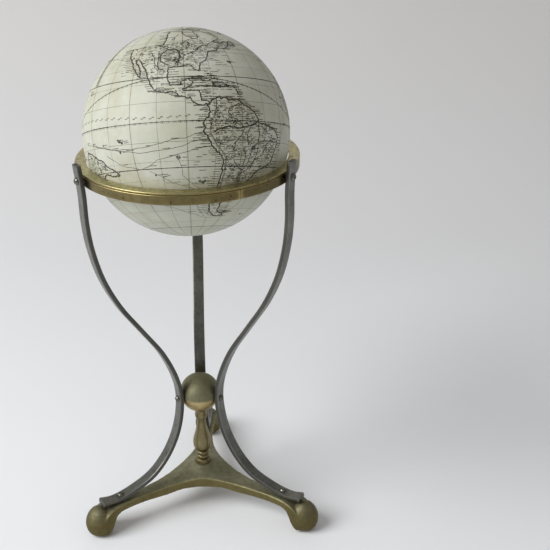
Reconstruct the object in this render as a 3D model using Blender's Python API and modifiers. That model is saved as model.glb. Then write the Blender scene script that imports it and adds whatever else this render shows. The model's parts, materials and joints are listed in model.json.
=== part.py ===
"""A table globe that sits loose in the horizon ring of a three-legged stand.

The stand is a cast brass base with three arms, a turned column and ball on top of it, three bent steel
straps and a brass ring. The globe is a hollow ball in two halves, lying in the ring. Metres, +Z up, the
front of the stand towards -Y. The origin is on the floor, under the middle of the object's box.
"""

import math

import bmesh
import bpy
from mathutils import Matrix, Vector

GAP = 0.0003  # clearance that touching pieces keep to each other

# Globe
GLOBE_R = 0.090
GLOBE_Z = 0.3833
SHELL_WALL = 0.0025
POLE_TILT = math.radians(23.4)
POLE_AZIMUTH = math.radians(93.2)
PILLAR_R = 0.006
PILLAR_HEAD = 0.006  # height of the pillar's wide ends, and of the cone below each
LAP_HEIGHT = 0.016
LAP_WALL = 0.002
INSIDE_GAP = 0.0015  # how far the lap ring and the pillar stay from the shells

# Horizon ring
RING_R = 0.0983
RING_TOP_Z = 0.3642
RING_BOTTOM_Z = 0.3537
RING_INNER_R = 0.0883
PLATE_THICK = 0.0020
HOOP_WALL = 0.0026
HOOP_INSET = 0.0003
HOOP_CHAMFER = 0.0005
BUTT_ANGLE = math.radians(298)
BUTT_WIDTH = 0.0004
BUTT_CUT_HEIGHT = 0.03

# Steel straps: the middle line as (distance from the axis, height), from the foot end to the top
LEG_ANGLES = {"left": 210, "right": 330, "back": 90}
STRAP_WIDTH = 0.0104
STRAP_THICK = 0.0043
STRAP_EDGE = 0.0005
STRAP_FLARE = 0.16
STRAP_PATH = (
    (0.1112, 0.0330),
    (0.0975, 0.0314),
    (0.0780, 0.0359),
    (0.0560, 0.0461),
    (0.0386, 0.0648),
    (0.0268, 0.0894),
    (0.0219, 0.1180),
    (0.0252, 0.1440),
    (0.0377, 0.1752),
    (0.0569, 0.2054),
    (0.0761, 0.2353),
    (0.0897, 0.2651),
    (0.0974, 0.2948),
    (0.1004, 0.3210),
    (0.1009, 0.3480),
    (0.1031, 0.3738),
)

# Ball and column
BALL_R = 0.0193
BALL_Z = 0.1208
BALL_SEAT_R = 0.0052
BALL_BORE_TOP = -0.0060  # the bore's end, measured from the ball's middle
HUB_TOP_Z = 0.0403
COLUMN_BORE_R = 0.0028

# Column: its outline from just below the ball to just above the base, as (radius, height)
COLLAR_TOP_R = 0.0048
COLLAR_STEP = 0.0010
COLUMN_UPPER = (
    (0.0062, 0.0950),
    (0.0056, 0.0912),
    (0.0045, 0.0898),
    (0.0044, 0.0865),
    (0.0054, 0.0805),
    (0.0071, 0.0738),
    (0.0087, 0.0680),
    (0.0092, 0.0630),
    (0.0087, 0.0585),
    (0.0073, 0.0560),
    (0.0058, 0.0552),
)
COLUMN_BEADS = ((0.0521, 0.0068, 0.0023), (0.0473, 0.0067, 0.0020))  # (height, radius, half height)
BEAD_SHAPE = ((-0.0010, 0.9), (0.0, 0.3), (0.0, -0.3), (-0.0010, -0.9), (-0.0014, -1.1))
COLUMN_DISC = ((0.0066, 0.0440), (0.0074, 0.0428))
COLUMN_DISC_R = 0.0075

# Tie rod, washer and nut
ROD_R = 0.0025
ROD_IN_BALL = 0.0075  # how far under the ball's middle the rod ends
ROD_PAST_NUT = 0.0012
WASHER_R = 0.0080
WASHER_THICK = 0.0015
NUT_FLATS = 0.0090
NUT_HEIGHT = 0.0040
NUT_BORE_LENGTH = 0.01
NUT_BORE_UNDER = 0.003

# Cast base: the arms' half width against the distance from the axis
ARM_HALF_WIDTH = (
    (0.015, 0.0178),
    (0.028, 0.0128),
    (0.043, 0.0091),
    (0.056, 0.0075),
    (0.068, 0.0068),
    (0.080, 0.0071),
    (0.092, 0.0086),
    (0.101, 0.0108),
    (0.108, 0.0124),
    (0.114, 0.0136),
)
HUB_UNDER_Z = 0.0235
ARM_UNDER_Z = 0.0208
STAR_LOW, STAR_HEIGHT = -0.01, 0.07  # the prism of the plan, which trims the turned blank
BASE_TOP = (  # the blank's outline, from the hub's top out and down
    (0.0, HUB_TOP_Z),
    (0.0090, HUB_TOP_Z),
    (0.0120, 0.0386),
    (0.0170, 0.0361),
    (0.0240, 0.0338),
    (0.0340, 0.0319),
    (0.0480, 0.0303),
    (0.0660, 0.0291),
    (0.0980, 0.0284),
    (0.1050, 0.0270),
    (0.1100, 0.0245),
    (0.1140, 0.0205),
    (0.1140, 0.0020),
)
BASE_UNDER = (  # and back in along its underside
    (0.1130, 0.0020),
    (0.1095, 0.0040),
    (0.1060, 0.0078),
    (0.1035, 0.0130),
    (0.1005, 0.0182),
    (0.0950, ARM_UNDER_Z),
    (0.0450, ARM_UNDER_Z),
    (0.0320, HUB_UNDER_Z),
    (0.0, HUB_UNDER_Z),
)
HUB_BORE_FROM, HUB_BORE_LENGTH = 0.01, 0.04
FOOT_R = 0.0142
FOOT_TOP_Z = 0.0292
FOOT_CENTRE_R = 0.1140
FOOT_PROFILE = (  # shares of the foot's radius and of its height
    (0.0, 1.0),
    (0.30, 0.975),
    (0.58, 0.89),
    (0.80, 0.75),
    (0.95, 0.58),
    (1.0, 0.44),
    (0.97, 0.28),
    (0.86, 0.13),
    (0.68, 0.035),
    (0.48, 0.0),
    (0.0, 0.0),
)

# Screws: (head radius, head height, shank radius, shank length)
RING_SCREW = (0.0034, 0.0024, 0.0016, 0.0078)
BALL_SCREW = (0.0031, 0.0024, 0.0016, 0.0098)
FOOT_SCREW = (0.0034, 0.0025, 0.0016, 0.0090)
SCREWS = {"ring_screw": RING_SCREW, "ball_screw": BALL_SCREW, "foot_screw": FOOT_SCREW}
SLOT_WIDTH, SLOT_DEPTH = 0.0009, 0.0008
HOLE_R = 0.0020
HOLE_PAST_SCREW = 0.0008  # how much deeper than its screw a hole goes
HOLE_OUTSIDE = 0.0012  # how far its cutter stands out of the strap's face
RING_SCREW_Z = 0.3595
RING_SCREW_SAG = 1.3  # the strap's top stretch is a curve, this much hollower than a straight one
FOOT_SCREW_R = 0.0905

# The box runs from the front of the ring to the back of the rear foot, and the origin is at its middle
AXIS_Y = (RING_R - FOOT_CENTRE_R - FOOT_R) / 2

COLOURS = {
    "paper": ((0.68, 0.68, 0.58), 0.30, 0.0),
    "pasteboard": ((0.45, 0.36, 0.24), 0.85, 0.0),
    "pillar_wood": ((0.40, 0.27, 0.15), 0.70, 0.0),
    "brass": ((0.42, 0.36, 0.19), 0.42, 1.0),
    "cast_brass": ((0.30, 0.26, 0.13), 0.50, 1.0),
    "steel": ((0.17, 0.17, 0.16), 0.45, 1.0),
    "screw_steel": ((0.22, 0.22, 0.20), 0.40, 1.0),
}


def clear_scene():
    for obj in list(bpy.data.objects):
        bpy.data.objects.remove(obj, do_unlink=True)


def new_collection(name):
    collection = bpy.data.collections.new(name)
    bpy.context.scene.collection.children.link(collection)
    return collection


def make_materials():
    made = {}
    for name, (colour, roughness, metallic) in COLOURS.items():
        material = bpy.data.materials.new(name)
        material.use_nodes = True
        shader = material.node_tree.nodes["Principled BSDF"]
        shader.inputs["Base Color"].default_value = (*colour, 1.0)
        shader.inputs["Roughness"].default_value = roughness
        shader.inputs["Metallic"].default_value = metallic
        made[name] = material
    return made


def new_empty(name, location, rotation=(0, 0, 0)):
    empty = bpy.data.objects.new(name, None)
    empty.location = location
    empty.rotation_euler = rotation
    empty.empty_display_size = 0.02
    PARTS.objects.link(empty)
    return empty


def place(obj, parent, location=(0, 0, 0), rotation=(0, 0, 0)):
    obj.parent = parent
    obj.location = location
    obj.rotation_euler = rotation
    return obj


def new_object(name, mesh, parent, material=None, location=(0, 0, 0), rotation=(0, 0, 0)):
    """A piece of the model, or a cutter where no material is given."""
    obj = bpy.data.objects.new(name, mesh)
    if material:
        PARTS.objects.link(obj)
        if not mesh.materials:
            mesh.materials.append(MATERIALS[material])
    else:
        CUTTERS.objects.link(obj)
        obj.hide_render = True
        obj.display_type = "WIRE"
    return place(obj, parent, location, rotation)


def mesh_from_bmesh(name, bm):
    mesh = bpy.data.meshes.new(name)
    bm.to_mesh(mesh)
    bm.free()
    return mesh


def add_boolean(obj, other, operation="DIFFERENCE"):
    cut = obj.modifiers.new(other.name, "BOOLEAN")
    cut.operation = operation
    cut.object = other
    cut.solver = "EXACT"


def smooth_path(points, per_span):
    """Points along a Catmull-Rom curve through the given ones, per_span to each stretch between two."""
    ends = [2 * Vector(points[0]) - Vector(points[1]), 2 * Vector(points[-1]) - Vector(points[-2])]
    row = [ends[0], *map(Vector, points), ends[1]]
    found = []
    for before, start, end, after in zip(row, row[1:], row[2:], row[3:]):
        for step in range(per_span):
            t = step / per_span
            found.append(
                0.5
                * (
                    2 * start
                    + (end - before) * t
                    + (2 * before - 5 * start + 4 * end - after) * t**2
                    + (3 * start - before - 3 * end + after) * t**3
                )
            )
    found.append(Vector(points[-1]))
    return found


def arc(centre, radius, start_deg, end_deg, steps):
    """Points on a circle in the (distance from the axis, height) plane, 0 degrees pointing outwards."""
    r, z = centre
    return [
        (
            r + radius * math.cos(math.radians(start_deg + (end_deg - start_deg) * i / steps)),
            z + radius * math.sin(math.radians(start_deg + (end_deg - start_deg) * i / steps)),
        )
        for i in range(steps + 1)
    ]


def turned(name, profile, parent, material=None, steps=48, closed=False, location=(0, 0, 0)):
    """A turned piece. The profile of (radius, height) runs down the outer side, and a closed one comes
    back up its inner side."""
    bm = bmesh.new()
    verts = [bm.verts.new((r, 0, z)) for r, z in profile]
    for a, b in zip(verts, verts[1:]):
        bm.edges.new((a, b))
    if closed:
        bm.edges.new((verts[-1], verts[0]))
    obj = new_object(name, mesh_from_bmesh(name, bm), parent, material, location)
    screw = obj.modifiers.new("turn", "SCREW")
    screw.axis = "Z"
    screw.angle = 2 * math.pi
    screw.steps = steps
    screw.render_steps = steps
    screw.use_merge_vertices = True
    screw.merge_threshold = 0.00001
    screw.use_smooth_shade = True
    return obj


def cylinder_cutter(name, radius, length, parent, location, rotation):
    """A round cutter, from its location along its own +Z."""
    bm = bmesh.new()
    bmesh.ops.create_cone(
        bm,
        cap_ends=True,
        segments=16,
        radius1=radius,
        radius2=radius,
        depth=length,
        matrix=Matrix.Translation((0, 0, length / 2)),
    )
    return new_object(name, mesh_from_bmesh(name, bm), parent, None, location, rotation)


def box_cutter(name, size, parent, location, rotation=(0, 0, 0)):
    bm = bmesh.new()
    bmesh.ops.create_cube(bm, size=1.0, matrix=Matrix.Diagonal((*size, 1.0)))
    return new_object(name, mesh_from_bmesh(name, bm), parent, None, location, rotation)


# ---------------------------------------------------------------- globe


def make_globe():
    frame = new_empty(
        "globe_frame",
        (0, AXIS_Y, GLOBE_Z),
        (0, POLE_TILT, POLE_AZIMUTH),
    )
    inner = GLOBE_R - SHELL_WALL
    seam = math.degrees(GAP / 2 / GLOBE_R)
    outer_arc = arc((0, 0), GLOBE_R, 90, seam, 10)
    inner_arc = arc((0, 0), inner, seam, 90, 5)
    north = outer_arc + inner_arc
    south = [(r, -z) for r, z in reversed(north)]
    for name, profile in (("north_shell", north), ("south_shell", south)):
        turned(name, profile, frame, "paper", steps=40)
    lap_r = inner - INSIDE_GAP
    half = LAP_HEIGHT / 2
    low_r = math.sqrt(lap_r**2 - half**2)
    lap = [
        (low_r, half),
        (lap_r, 0),
        (low_r, -half),
        (low_r - LAP_WALL, -half),
        (low_r - LAP_WALL, half),
    ]
    turned("equator_lap_ring", lap, frame, "pasteboard", steps=40, closed=True)
    head_r = 2 * PILLAR_R
    half = math.sqrt(inner**2 - head_r**2) - INSIDE_GAP
    pillar = [
        (0, half),
        (head_r, half),
        (head_r, half - PILLAR_HEAD),
        (PILLAR_R, half - 2 * PILLAR_HEAD),
        (PILLAR_R, -half + 2 * PILLAR_HEAD),
        (head_r, -half + PILLAR_HEAD),
        (head_r, -half),
        (0, -half),
    ]
    turned("axis_pillar", pillar, frame, "pillar_wood", steps=24)


# ---------------------------------------------------------------- ring


def make_ring(stand):
    edge = PLATE_THICK / 2
    plate = arc((RING_R - edge, RING_TOP_Z - edge), edge, 90, -90, 4)
    plate += [(RING_INNER_R, RING_TOP_Z - PLATE_THICK), (RING_INNER_R, RING_TOP_Z)]
    turned("ring_plate", plate, stand, "brass", steps=72, closed=True)
    outer = RING_R - HOOP_INSET
    inner = outer - HOOP_WALL
    top = RING_TOP_Z - PLATE_THICK - GAP
    hoop_profile = [
        (outer, top),
        (outer, RING_BOTTOM_Z + HOOP_CHAMFER),
        (outer - HOOP_CHAMFER, RING_BOTTOM_Z),
        (inner, RING_BOTTOM_Z),
        (inner, top),
    ]
    hoop = turned("ring_hoop", hoop_profile, stand, "brass", steps=72, closed=True)
    middle = (outer + inner) / 2
    slit = box_cutter(
        "butt_cutter",
        (4 * HOOP_WALL, BUTT_WIDTH, BUTT_CUT_HEIGHT),
        stand,
        (middle * math.cos(BUTT_ANGLE), middle * math.sin(BUTT_ANGLE), RING_TOP_Z),
        (0, 0, BUTT_ANGLE),
    )
    add_boolean(hoop, slit)
    return hoop


# ---------------------------------------------------------------- straps and screws


def strap_mesh():
    """The strap's middle surface, in the plane of its leg: x is away from the axis, y across."""
    bm = bmesh.new()
    path = smooth_path(STRAP_PATH, 3)
    verts = [bm.verts.new((r, -STRAP_WIDTH / 2, z)) for r, z in path]
    edges = [bm.edges.new(pair) for pair in zip(verts, verts[1:])]
    new = bmesh.ops.extrude_edge_only(bm, edges=edges)
    far = [item for item in new["geom"] if isinstance(item, bmesh.types.BMVert)]
    bmesh.ops.translate(bm, verts=far, vec=(0, STRAP_WIDTH, 0))
    flare_from = STRAP_PATH[2][0]
    flare_over = STRAP_PATH[0][0] - flare_from
    for vert in bm.verts:
        if vert.co.z < STRAP_PATH[3][1]:
            share = max(0.0, (vert.co.x - flare_from) / flare_over)
            vert.co.y *= 1 + STRAP_FLARE * share**2
    bmesh.ops.recalc_face_normals(bm, faces=bm.faces)
    return mesh_from_bmesh("strap", bm)


def strap_direction(at_r):
    """Slope of the strap's foot end at this distance from the axis, as an angle below level."""
    path = smooth_path(STRAP_PATH[:4], 12)
    for low, high in zip(path, path[1:]):
        if high[0] <= at_r <= low[0]:
            middle_z = low[1] + (high[1] - low[1]) * (low[0] - at_r) / (low[0] - high[0])
            return middle_z, math.atan2(high[1] - low[1], low[0] - high[0])
    raise ValueError("the foot screw is off the strap's foot end")


def screw_mesh(name, size):
    """A slotted round-head screw, standing on the strap's face at its own origin, +Z out of the head."""
    head_r, head_h, shank_r, length = size
    dome_r = (head_r**2 + head_h**2) / (2 * head_h)
    start = math.degrees(math.asin((dome_r - head_h) / dome_r))
    profile = arc((0, head_h - dome_r), dome_r, 90, start, 4)
    profile += [(shank_r, 0), (shank_r, -length), (0, -length)]
    raw = turned(name + "_blank", profile, None, "screw_steel", steps=16)
    slot = box_cutter(name + "_slot", (3 * head_r, SLOT_WIDTH, 2 * SLOT_DEPTH), None, (0, 0, head_h))
    add_boolean(raw, slot)
    graph = bpy.context.evaluated_depsgraph_get()
    mesh = bpy.data.meshes.new_from_object(raw.evaluated_get(graph))
    mesh.name = name
    bpy.data.objects.remove(raw, do_unlink=True)
    bpy.data.objects.remove(slot, do_unlink=True)
    return mesh


def top_lean():
    """How far the strap's top leans outwards from upright."""
    (low_r, low_z), (high_r, high_z) = STRAP_PATH[-2:]
    return math.atan2(high_r - low_r, high_z - low_z)


def screw_places():
    """Kind of screw: (distance from the axis, height, lean of its axis from level) on the outer face."""
    foot_z, slope = strap_direction(FOOT_SCREW_R)
    half = STRAP_THICK / 2 + GAP / 2
    (low_r, low_z), (high_r, high_z) = STRAP_PATH[-2:]
    ring_r = low_r + (high_r - low_r) * ((RING_SCREW_Z - low_z) / (high_z - low_z)) ** RING_SCREW_SAG
    upright = math.pi / 2 - slope
    return {
        "ring_screw": (ring_r + half + GAP, RING_SCREW_Z, -top_lean() / 2),
        "ball_screw": (STRAP_PATH[6][0] + half, BALL_Z, 0.0),
        "foot_screw": (
            FOOT_SCREW_R + half * math.cos(upright),
            foot_z + half * math.sin(upright),
            upright,
        ),
    }


def aim(azimuth, lean):
    """Rotation that turns +Z to point away from the axis at this azimuth, raised by lean."""
    return (0, math.pi / 2 - lean, azimuth)


def outward(azimuth, r, z):
    return (r * math.cos(azimuth), r * math.sin(azimuth), z)


def make_legs(stand, hoop, ball, base):
    mesh = strap_mesh()
    screws = {kind: screw_mesh(kind, size) for kind, size in SCREWS.items()}
    joined_to = {"ring_screw": hoop, "ball_screw": ball, "foot_screw": base}
    places = screw_places()
    for side, degrees in LEG_ANGLES.items():
        azimuth = math.radians(degrees)
        strap = new_object("leg_" + side, mesh, stand, "steel", rotation=(0, 0, azimuth))
        wall = strap.modifiers.new("bar", "SOLIDIFY")
        wall.thickness = STRAP_THICK
        wall.offset = 0
        wall.use_even_offset = True
        edge = strap.modifiers.new("edge", "BEVEL")
        edge.width = STRAP_EDGE
        edge.segments = 1
        edge.limit_method = "ANGLE"
        edge.angle_limit = math.radians(40)
        for kind, (r, z, lean) in places.items():
            at = outward(azimuth, r, z)
            turn = aim(azimuth, lean)
            new_object(f"{kind}_{side}", screws[kind], stand, "screw_steel", at, turn)
            hole = hole_for(kind, side, stand, azimuth, (r, z, lean))
            add_boolean(strap, hole)
            add_boolean(joined_to[kind], hole)


def hole_for(kind, side, stand, azimuth, where):
    """The clearance hole of one screw, through the strap and into what is behind it."""
    r, z, lean = where
    depth = SCREWS[kind][3] + HOLE_PAST_SCREW
    at = outward(azimuth, r - depth * math.cos(lean), z - depth * math.sin(lean))
    name = f"{kind}_hole_{side}"
    return cylinder_cutter(name, HOLE_R, depth + HOLE_OUTSIDE, stand, at, aim(azimuth, lean))


# ---------------------------------------------------------------- ball, column, tie rod


def make_ball(stand):
    seat_z = -math.sqrt(BALL_R**2 - BALL_SEAT_R**2)
    start = -math.degrees(math.acos(BALL_SEAT_R / BALL_R))
    profile = arc((0, 0), BALL_R, 90, start, 13)
    profile += [(COLUMN_BORE_R, seat_z), (COLUMN_BORE_R, BALL_BORE_TOP), (0, BALL_BORE_TOP)]
    return turned("ball", profile, stand, "brass", steps=28, location=(0, 0, BALL_Z))


def make_column(stand):
    """A baluster: a collar under the ball, a slim neck, a long belly and two beads on a foot disc."""
    top = BALL_Z - math.sqrt(BALL_R**2 - BALL_SEAT_R**2) - GAP
    foot = HUB_TOP_Z + GAP
    profile = [(COLLAR_TOP_R, top), (COLUMN_UPPER[0][0], top - COLLAR_STEP), *COLUMN_UPPER]
    for centre_z, bead_r, half in COLUMN_BEADS:
        profile += [(bead_r + inset, centre_z + half * share) for inset, share in BEAD_SHAPE]
    profile += [*COLUMN_DISC, (COLUMN_DISC_R, foot), (COLUMN_BORE_R, foot), (COLUMN_BORE_R, top)]
    turned("column", profile, stand, "brass", steps=24, closed=True)


def make_tie(stand):
    """The rod that pulls ball, column and base together, with its washer and nut under the hub."""
    washer_top = HUB_UNDER_Z - GAP
    washer_low = washer_top - WASHER_THICK
    nut_top = washer_low - GAP
    nut_low = nut_top - NUT_HEIGHT
    rod_top = BALL_Z - ROD_IN_BALL
    rod_low = nut_low - ROD_PAST_NUT
    rod = [(0, rod_top), (ROD_R, rod_top), (ROD_R, rod_low), (0, rod_low)]
    turned("tie_rod", rod, stand, "screw_steel", steps=20)
    washer = [
        (WASHER_R, washer_top),
        (WASHER_R, washer_low),
        (COLUMN_BORE_R, washer_low),
        (COLUMN_BORE_R, washer_top),
    ]
    turned("base_washer", washer, stand, "screw_steel", steps=28, closed=True)
    bm = bmesh.new()
    corner_r = NUT_FLATS / math.sqrt(3)
    bmesh.ops.create_cone(
        bm,
        cap_ends=True,
        segments=6,
        radius1=corner_r,
        radius2=corner_r,
        depth=NUT_HEIGHT,
    )
    mesh = mesh_from_bmesh("base_nut", bm)
    nut = new_object("base_nut", mesh, stand, "screw_steel", (0, 0, (nut_top + nut_low) / 2))
    bore_at = (0, 0, nut_low - NUT_BORE_UNDER)
    add_boolean(nut, cylinder_cutter("nut_bore", COLUMN_BORE_R, NUT_BORE_LENGTH, stand, bore_at, (0, 0, 0)))


# ---------------------------------------------------------------- base


def star_outline():
    """The base's plan: down one side of each arm and back up the other, arm by arm."""
    sides = smooth_path(ARM_HALF_WIDTH, 2)
    points = []
    for degrees in sorted(LEG_ANGLES.values()):
        turn = Matrix.Rotation(math.radians(degrees), 2)
        out = [turn @ Vector((r, -half)) for r, half in sides]
        back = [turn @ Vector((r, half)) for r, half in reversed(sides)]
        points += out + back
    return points


def make_base(stand):
    profile = [*BASE_TOP, *BASE_UNDER]
    base = turned("base_casting", profile, stand, "cast_brass", steps=36)
    bm = bmesh.new()
    face = bm.faces.new([bm.verts.new((x, y, STAR_LOW)) for x, y in star_outline()])
    bm.normal_update()
    if face.normal.z > 0:
        face.normal_flip()
    raised = bmesh.ops.extrude_face_region(bm, geom=[face], use_keep_orig=True)
    top = [item for item in raised["geom"] if isinstance(item, bmesh.types.BMVert)]
    bmesh.ops.translate(bm, verts=top, vec=(0, 0, STAR_HEIGHT))
    bmesh.ops.recalc_face_normals(bm, faces=bm.faces)
    star = new_object("star_prism", mesh_from_bmesh("star_prism", bm), stand)
    add_boolean(base, star, "INTERSECT")
    for side, degrees in LEG_ANGLES.items():
        add_boolean(base, foot_knob(side, math.radians(degrees), stand), "UNION")
    bore_at = (0, 0, HUB_BORE_FROM)
    bore = cylinder_cutter("hub_bore", COLUMN_BORE_R, HUB_BORE_LENGTH, stand, bore_at, (0, 0, 0))
    add_boolean(base, bore)
    return base


def foot_knob(side, azimuth, stand):
    """The round end of an arm: domed on top, nearly upright at its widest, flat where it stands."""
    profile = [(r * FOOT_R, z * FOOT_TOP_Z) for r, z in FOOT_PROFILE]
    at = outward(azimuth, FOOT_CENTRE_R, 0)
    knob = turned("foot_knob_" + side, profile, stand, None, 20, False, at)
    knob.rotation_euler = (0, 0, azimuth)
    return knob


def main():
    stand = new_empty("stand_axis", (0, AXIS_Y, 0))
    make_globe()
    hoop = make_ring(stand)
    ball = make_ball(stand)
    base = make_base(stand)
    make_column(stand)
    make_tie(stand)
    make_legs(stand, hoop, ball, base)


clear_scene()
PARTS = new_collection("table_globe")
CUTTERS = new_collection("cutters")
MATERIALS = make_materials()
main()
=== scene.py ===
"""Looks of a table globe that sits loose in the horizon ring of a three-legged stand.

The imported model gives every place. Over it come the globe's varnished paper with its engraved map, the brass
ring, the bent steel straps, the turned ball and column, the cast base and the slotted screws, each its own
piece. Metres, +Z up, the front towards -Y.
"""

import json
import math
import random

import bmesh
import bpy
from mathutils import Euler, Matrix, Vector, noise


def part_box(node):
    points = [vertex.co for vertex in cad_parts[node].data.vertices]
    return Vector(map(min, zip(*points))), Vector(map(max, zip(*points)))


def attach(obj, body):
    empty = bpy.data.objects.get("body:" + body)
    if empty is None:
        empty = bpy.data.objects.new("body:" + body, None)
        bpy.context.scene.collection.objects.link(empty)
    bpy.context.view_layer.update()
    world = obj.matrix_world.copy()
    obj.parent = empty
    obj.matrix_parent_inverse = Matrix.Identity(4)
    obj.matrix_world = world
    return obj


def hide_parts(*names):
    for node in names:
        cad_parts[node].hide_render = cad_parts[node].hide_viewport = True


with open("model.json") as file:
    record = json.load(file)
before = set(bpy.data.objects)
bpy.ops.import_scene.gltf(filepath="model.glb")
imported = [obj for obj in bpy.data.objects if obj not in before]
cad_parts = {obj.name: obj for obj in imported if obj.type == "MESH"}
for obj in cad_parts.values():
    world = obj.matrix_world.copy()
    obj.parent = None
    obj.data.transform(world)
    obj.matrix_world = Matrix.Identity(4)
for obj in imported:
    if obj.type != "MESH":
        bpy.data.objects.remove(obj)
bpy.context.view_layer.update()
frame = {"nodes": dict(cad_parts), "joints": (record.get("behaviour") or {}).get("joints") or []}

MM = 0.001
SKIN = 0.00002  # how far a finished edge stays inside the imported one
TURN = 2 * math.pi

# ---------------------------------------------------------------- places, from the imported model


def middle(node):
    low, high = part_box(node)
    return (low + high) / 2


def top_of(node):
    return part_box(node)[1].z


def half_width(node):
    low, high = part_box(node)
    return (high.x - low.x) / 2


AXIS = Vector((middle("column").x, middle("column").y, 0.0))
SPIN = next(joint for joint in frame["joints"] if joint["name"] == "globe_spin")
GLOBE_AT = Vector(SPIN["pos_m"])
POLE = Vector(SPIN["axis"])
POLE_TURN = Euler((0, math.acos(POLE.z), math.atan2(POLE.y, POLE.x)))
BALL_R = half_width("ball")
BALL_Z = top_of("ball") - BALL_R
RING_R = half_width("ring_plate") - SKIN
RING_TOP = top_of("ring_plate")
PLATE = RING_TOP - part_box("ring_plate")[0].z
HOOP_LOW, HOOP_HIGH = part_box("ring_hoop")[0].z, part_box("ring_hoop")[1].z
HOOP_R = half_width("ring_hoop")

# Globe: the paper's surface, its wall, where the map's zero meridian lies on it, and its printed gores
PAPER_R = 0.08975
PAPER_WALL = 0.0024
HALVES_GAP = 0.0001
PRIME = math.radians(-89.55)
GORES = 12

# Ring
PLATE_INNER_R = 0.0884
HOOP_WALL = 0.0025
BUTT_AT = math.radians(298)
BUTT_GAP = 0.0004

# Straps: where each stands round the axis in degrees, their bar, and its middle line as (distance from the
# axis, height) from the foot end to the top
LEGS = {"left": 210, "right": 330, "back": 90}
STRAP_WIDE, STRAP_THICK, STRAP_FLARE = 0.0104, 0.0043, 0.16
STRAP_LINE = (
    (0.1112, 0.0330), (0.0975, 0.0314), (0.0780, 0.0359), (0.0560, 0.0461),
    (0.0386, 0.0648), (0.0268, 0.0894), (0.0219, 0.1180), (0.0252, 0.1440),
    (0.0377, 0.1752), (0.0569, 0.2054), (0.0761, 0.2353), (0.0897, 0.2651),
    (0.0974, 0.2948), (0.1004, 0.3210), (0.1009, 0.3480), (0.1031, 0.3738),
)
FLARE_FROM, FLARE_TO = 0.0780, 0.1112

# ---------------------------------------------------------------- materials


def shade(code):
    """An sRGB hex colour as linear values."""
    parts = [int(code[i : i + 2], 16) / 255 for i in (1, 3, 5)]
    return [v / 12.92 if v <= 0.04045 else ((v + 0.055) / 1.055) ** 2.4 for v in parts] + [1.0]


def add(tree, kind, settings=(), links=()):
    """Adds a node: settings are its properties and unlinked inputs, links are the sockets that feed it."""
    made = tree.nodes.new("ShaderNode" + kind)
    for key, value in dict(settings).items():
        if isinstance(key, int) or key in made.inputs:
            made.inputs[key].default_value = value
        else:
            setattr(made, key, value)
    for key, socket in dict(links).items():
        tree.links.new(socket, made.inputs[key])
    return made


def new_material(name, settings):
    """A material and its shader, with the values that are the same all over its surface."""
    made = bpy.data.materials.new(name)
    made.use_nodes = True
    shader = made.node_tree.nodes["Principled BSDF"]
    for key, value in settings.items():
        shader.inputs[key].default_value = value
    return made, made.node_tree, shader


def patches(tree, place, size, bare=0.0, full=1.0, detail=4.0, rough=0.55, other=0.0, least=0.0, most=1.0):
    """Blotches about this many metres across, from least where the noise is at bare to most where it is at
    full. Another number gives another set of blotches."""
    grain = {"noise_dimensions": "4D", "W": other, "Scale": 1 / size, "Detail": detail, "Roughness": rough}
    cloud = add(tree, "TexNoise", grain, {"Vector": place}).outputs[0]
    reach = {"From Min": bare, "From Max": full, "To Min": least, "To Max": most}
    return add(tree, "MapRange", reach, {"Value": cloud}).outputs[0]


def layer(tree, under, mask, over, amount=1.0, bare=0.0, full=1.0):
    """Lays a colour over another, each a hex code or a socket: not at all where the mask is at bare, and by
    this amount where it is at full."""
    reach = {"From Min": bare, "From Max": full, "To Max": amount}
    share = add(tree, "MapRange", reach, {"Value": mask}).outputs[0]
    colours = {6: under, 7: over}
    flat = {key: shade(colour) for key, colour in colours.items() if isinstance(colour, str)}
    fed = {key: colour for key, colour in colours.items() if not isinstance(colour, str)}
    return add(tree, "Mix", {"data_type": "RGBA", **flat}, {0: share, **fed}).outputs[2]


def finish(tree, shader, colour, rough=None, bumps=()):
    """Feeds the shader its colour, its roughness and its bumps, laid one on another, each bump as (height,
    distance in metres, strength)."""
    tree.links.new(colour, shader.inputs["Base Color"])
    if rough is not None:
        tree.links.new(rough, shader.inputs["Roughness"])
    links = {}
    for height, distance, strength in bumps:
        links["Height"] = height
        links["Normal"] = add(tree, "Bump", {"Distance": distance, "Strength": strength}, links).outputs[0]
    if links:
        tree.links.new(links["Normal"], shader.inputs["Normal"])


def from_axis(tree):
    """Object coordinates measured from the stand's axis."""
    place = add(tree, "TexCoord").outputs["Object"]
    return add(tree, "Mapping", {"Location": -AXIS}, {"Vector": place}).outputs[0]


def round_axis(tree, place):
    """A place as its distance from the upright axis, its angle round it and its height."""
    x, y, height = add(tree, "SeparateXYZ", links={0: place}).outputs
    flat = add(tree, "CombineXYZ", links={0: x, 1: y}).outputs[0]
    away = add(tree, "VectorMath", {"operation": "LENGTH"}, {0: flat}).outputs["Value"]
    angle = add(tree, "Math", {"operation": "ARCTAN2"}, {0: y, 1: x}).outputs[0]
    return away, angle, height


MARKS_A_RADIAN = 8  # round marks are long: this many lengths of one make a radian


def round_marks(tree, spacing):
    """Fine marks that run round the stand's axis, as a lathe tool or a polishing cloth leaves them."""
    away, angle, height = round_axis(tree, from_axis(tree))
    along = add(tree, "Math", {"operation": "MULTIPLY", 1: MARKS_A_RADIAN * spacing}, {0: angle}).outputs[0]
    place = add(tree, "CombineXYZ", links={0: away, 1: along, 2: height}).outputs[0]
    return patches(tree, place, spacing, detail=3.0)


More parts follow.
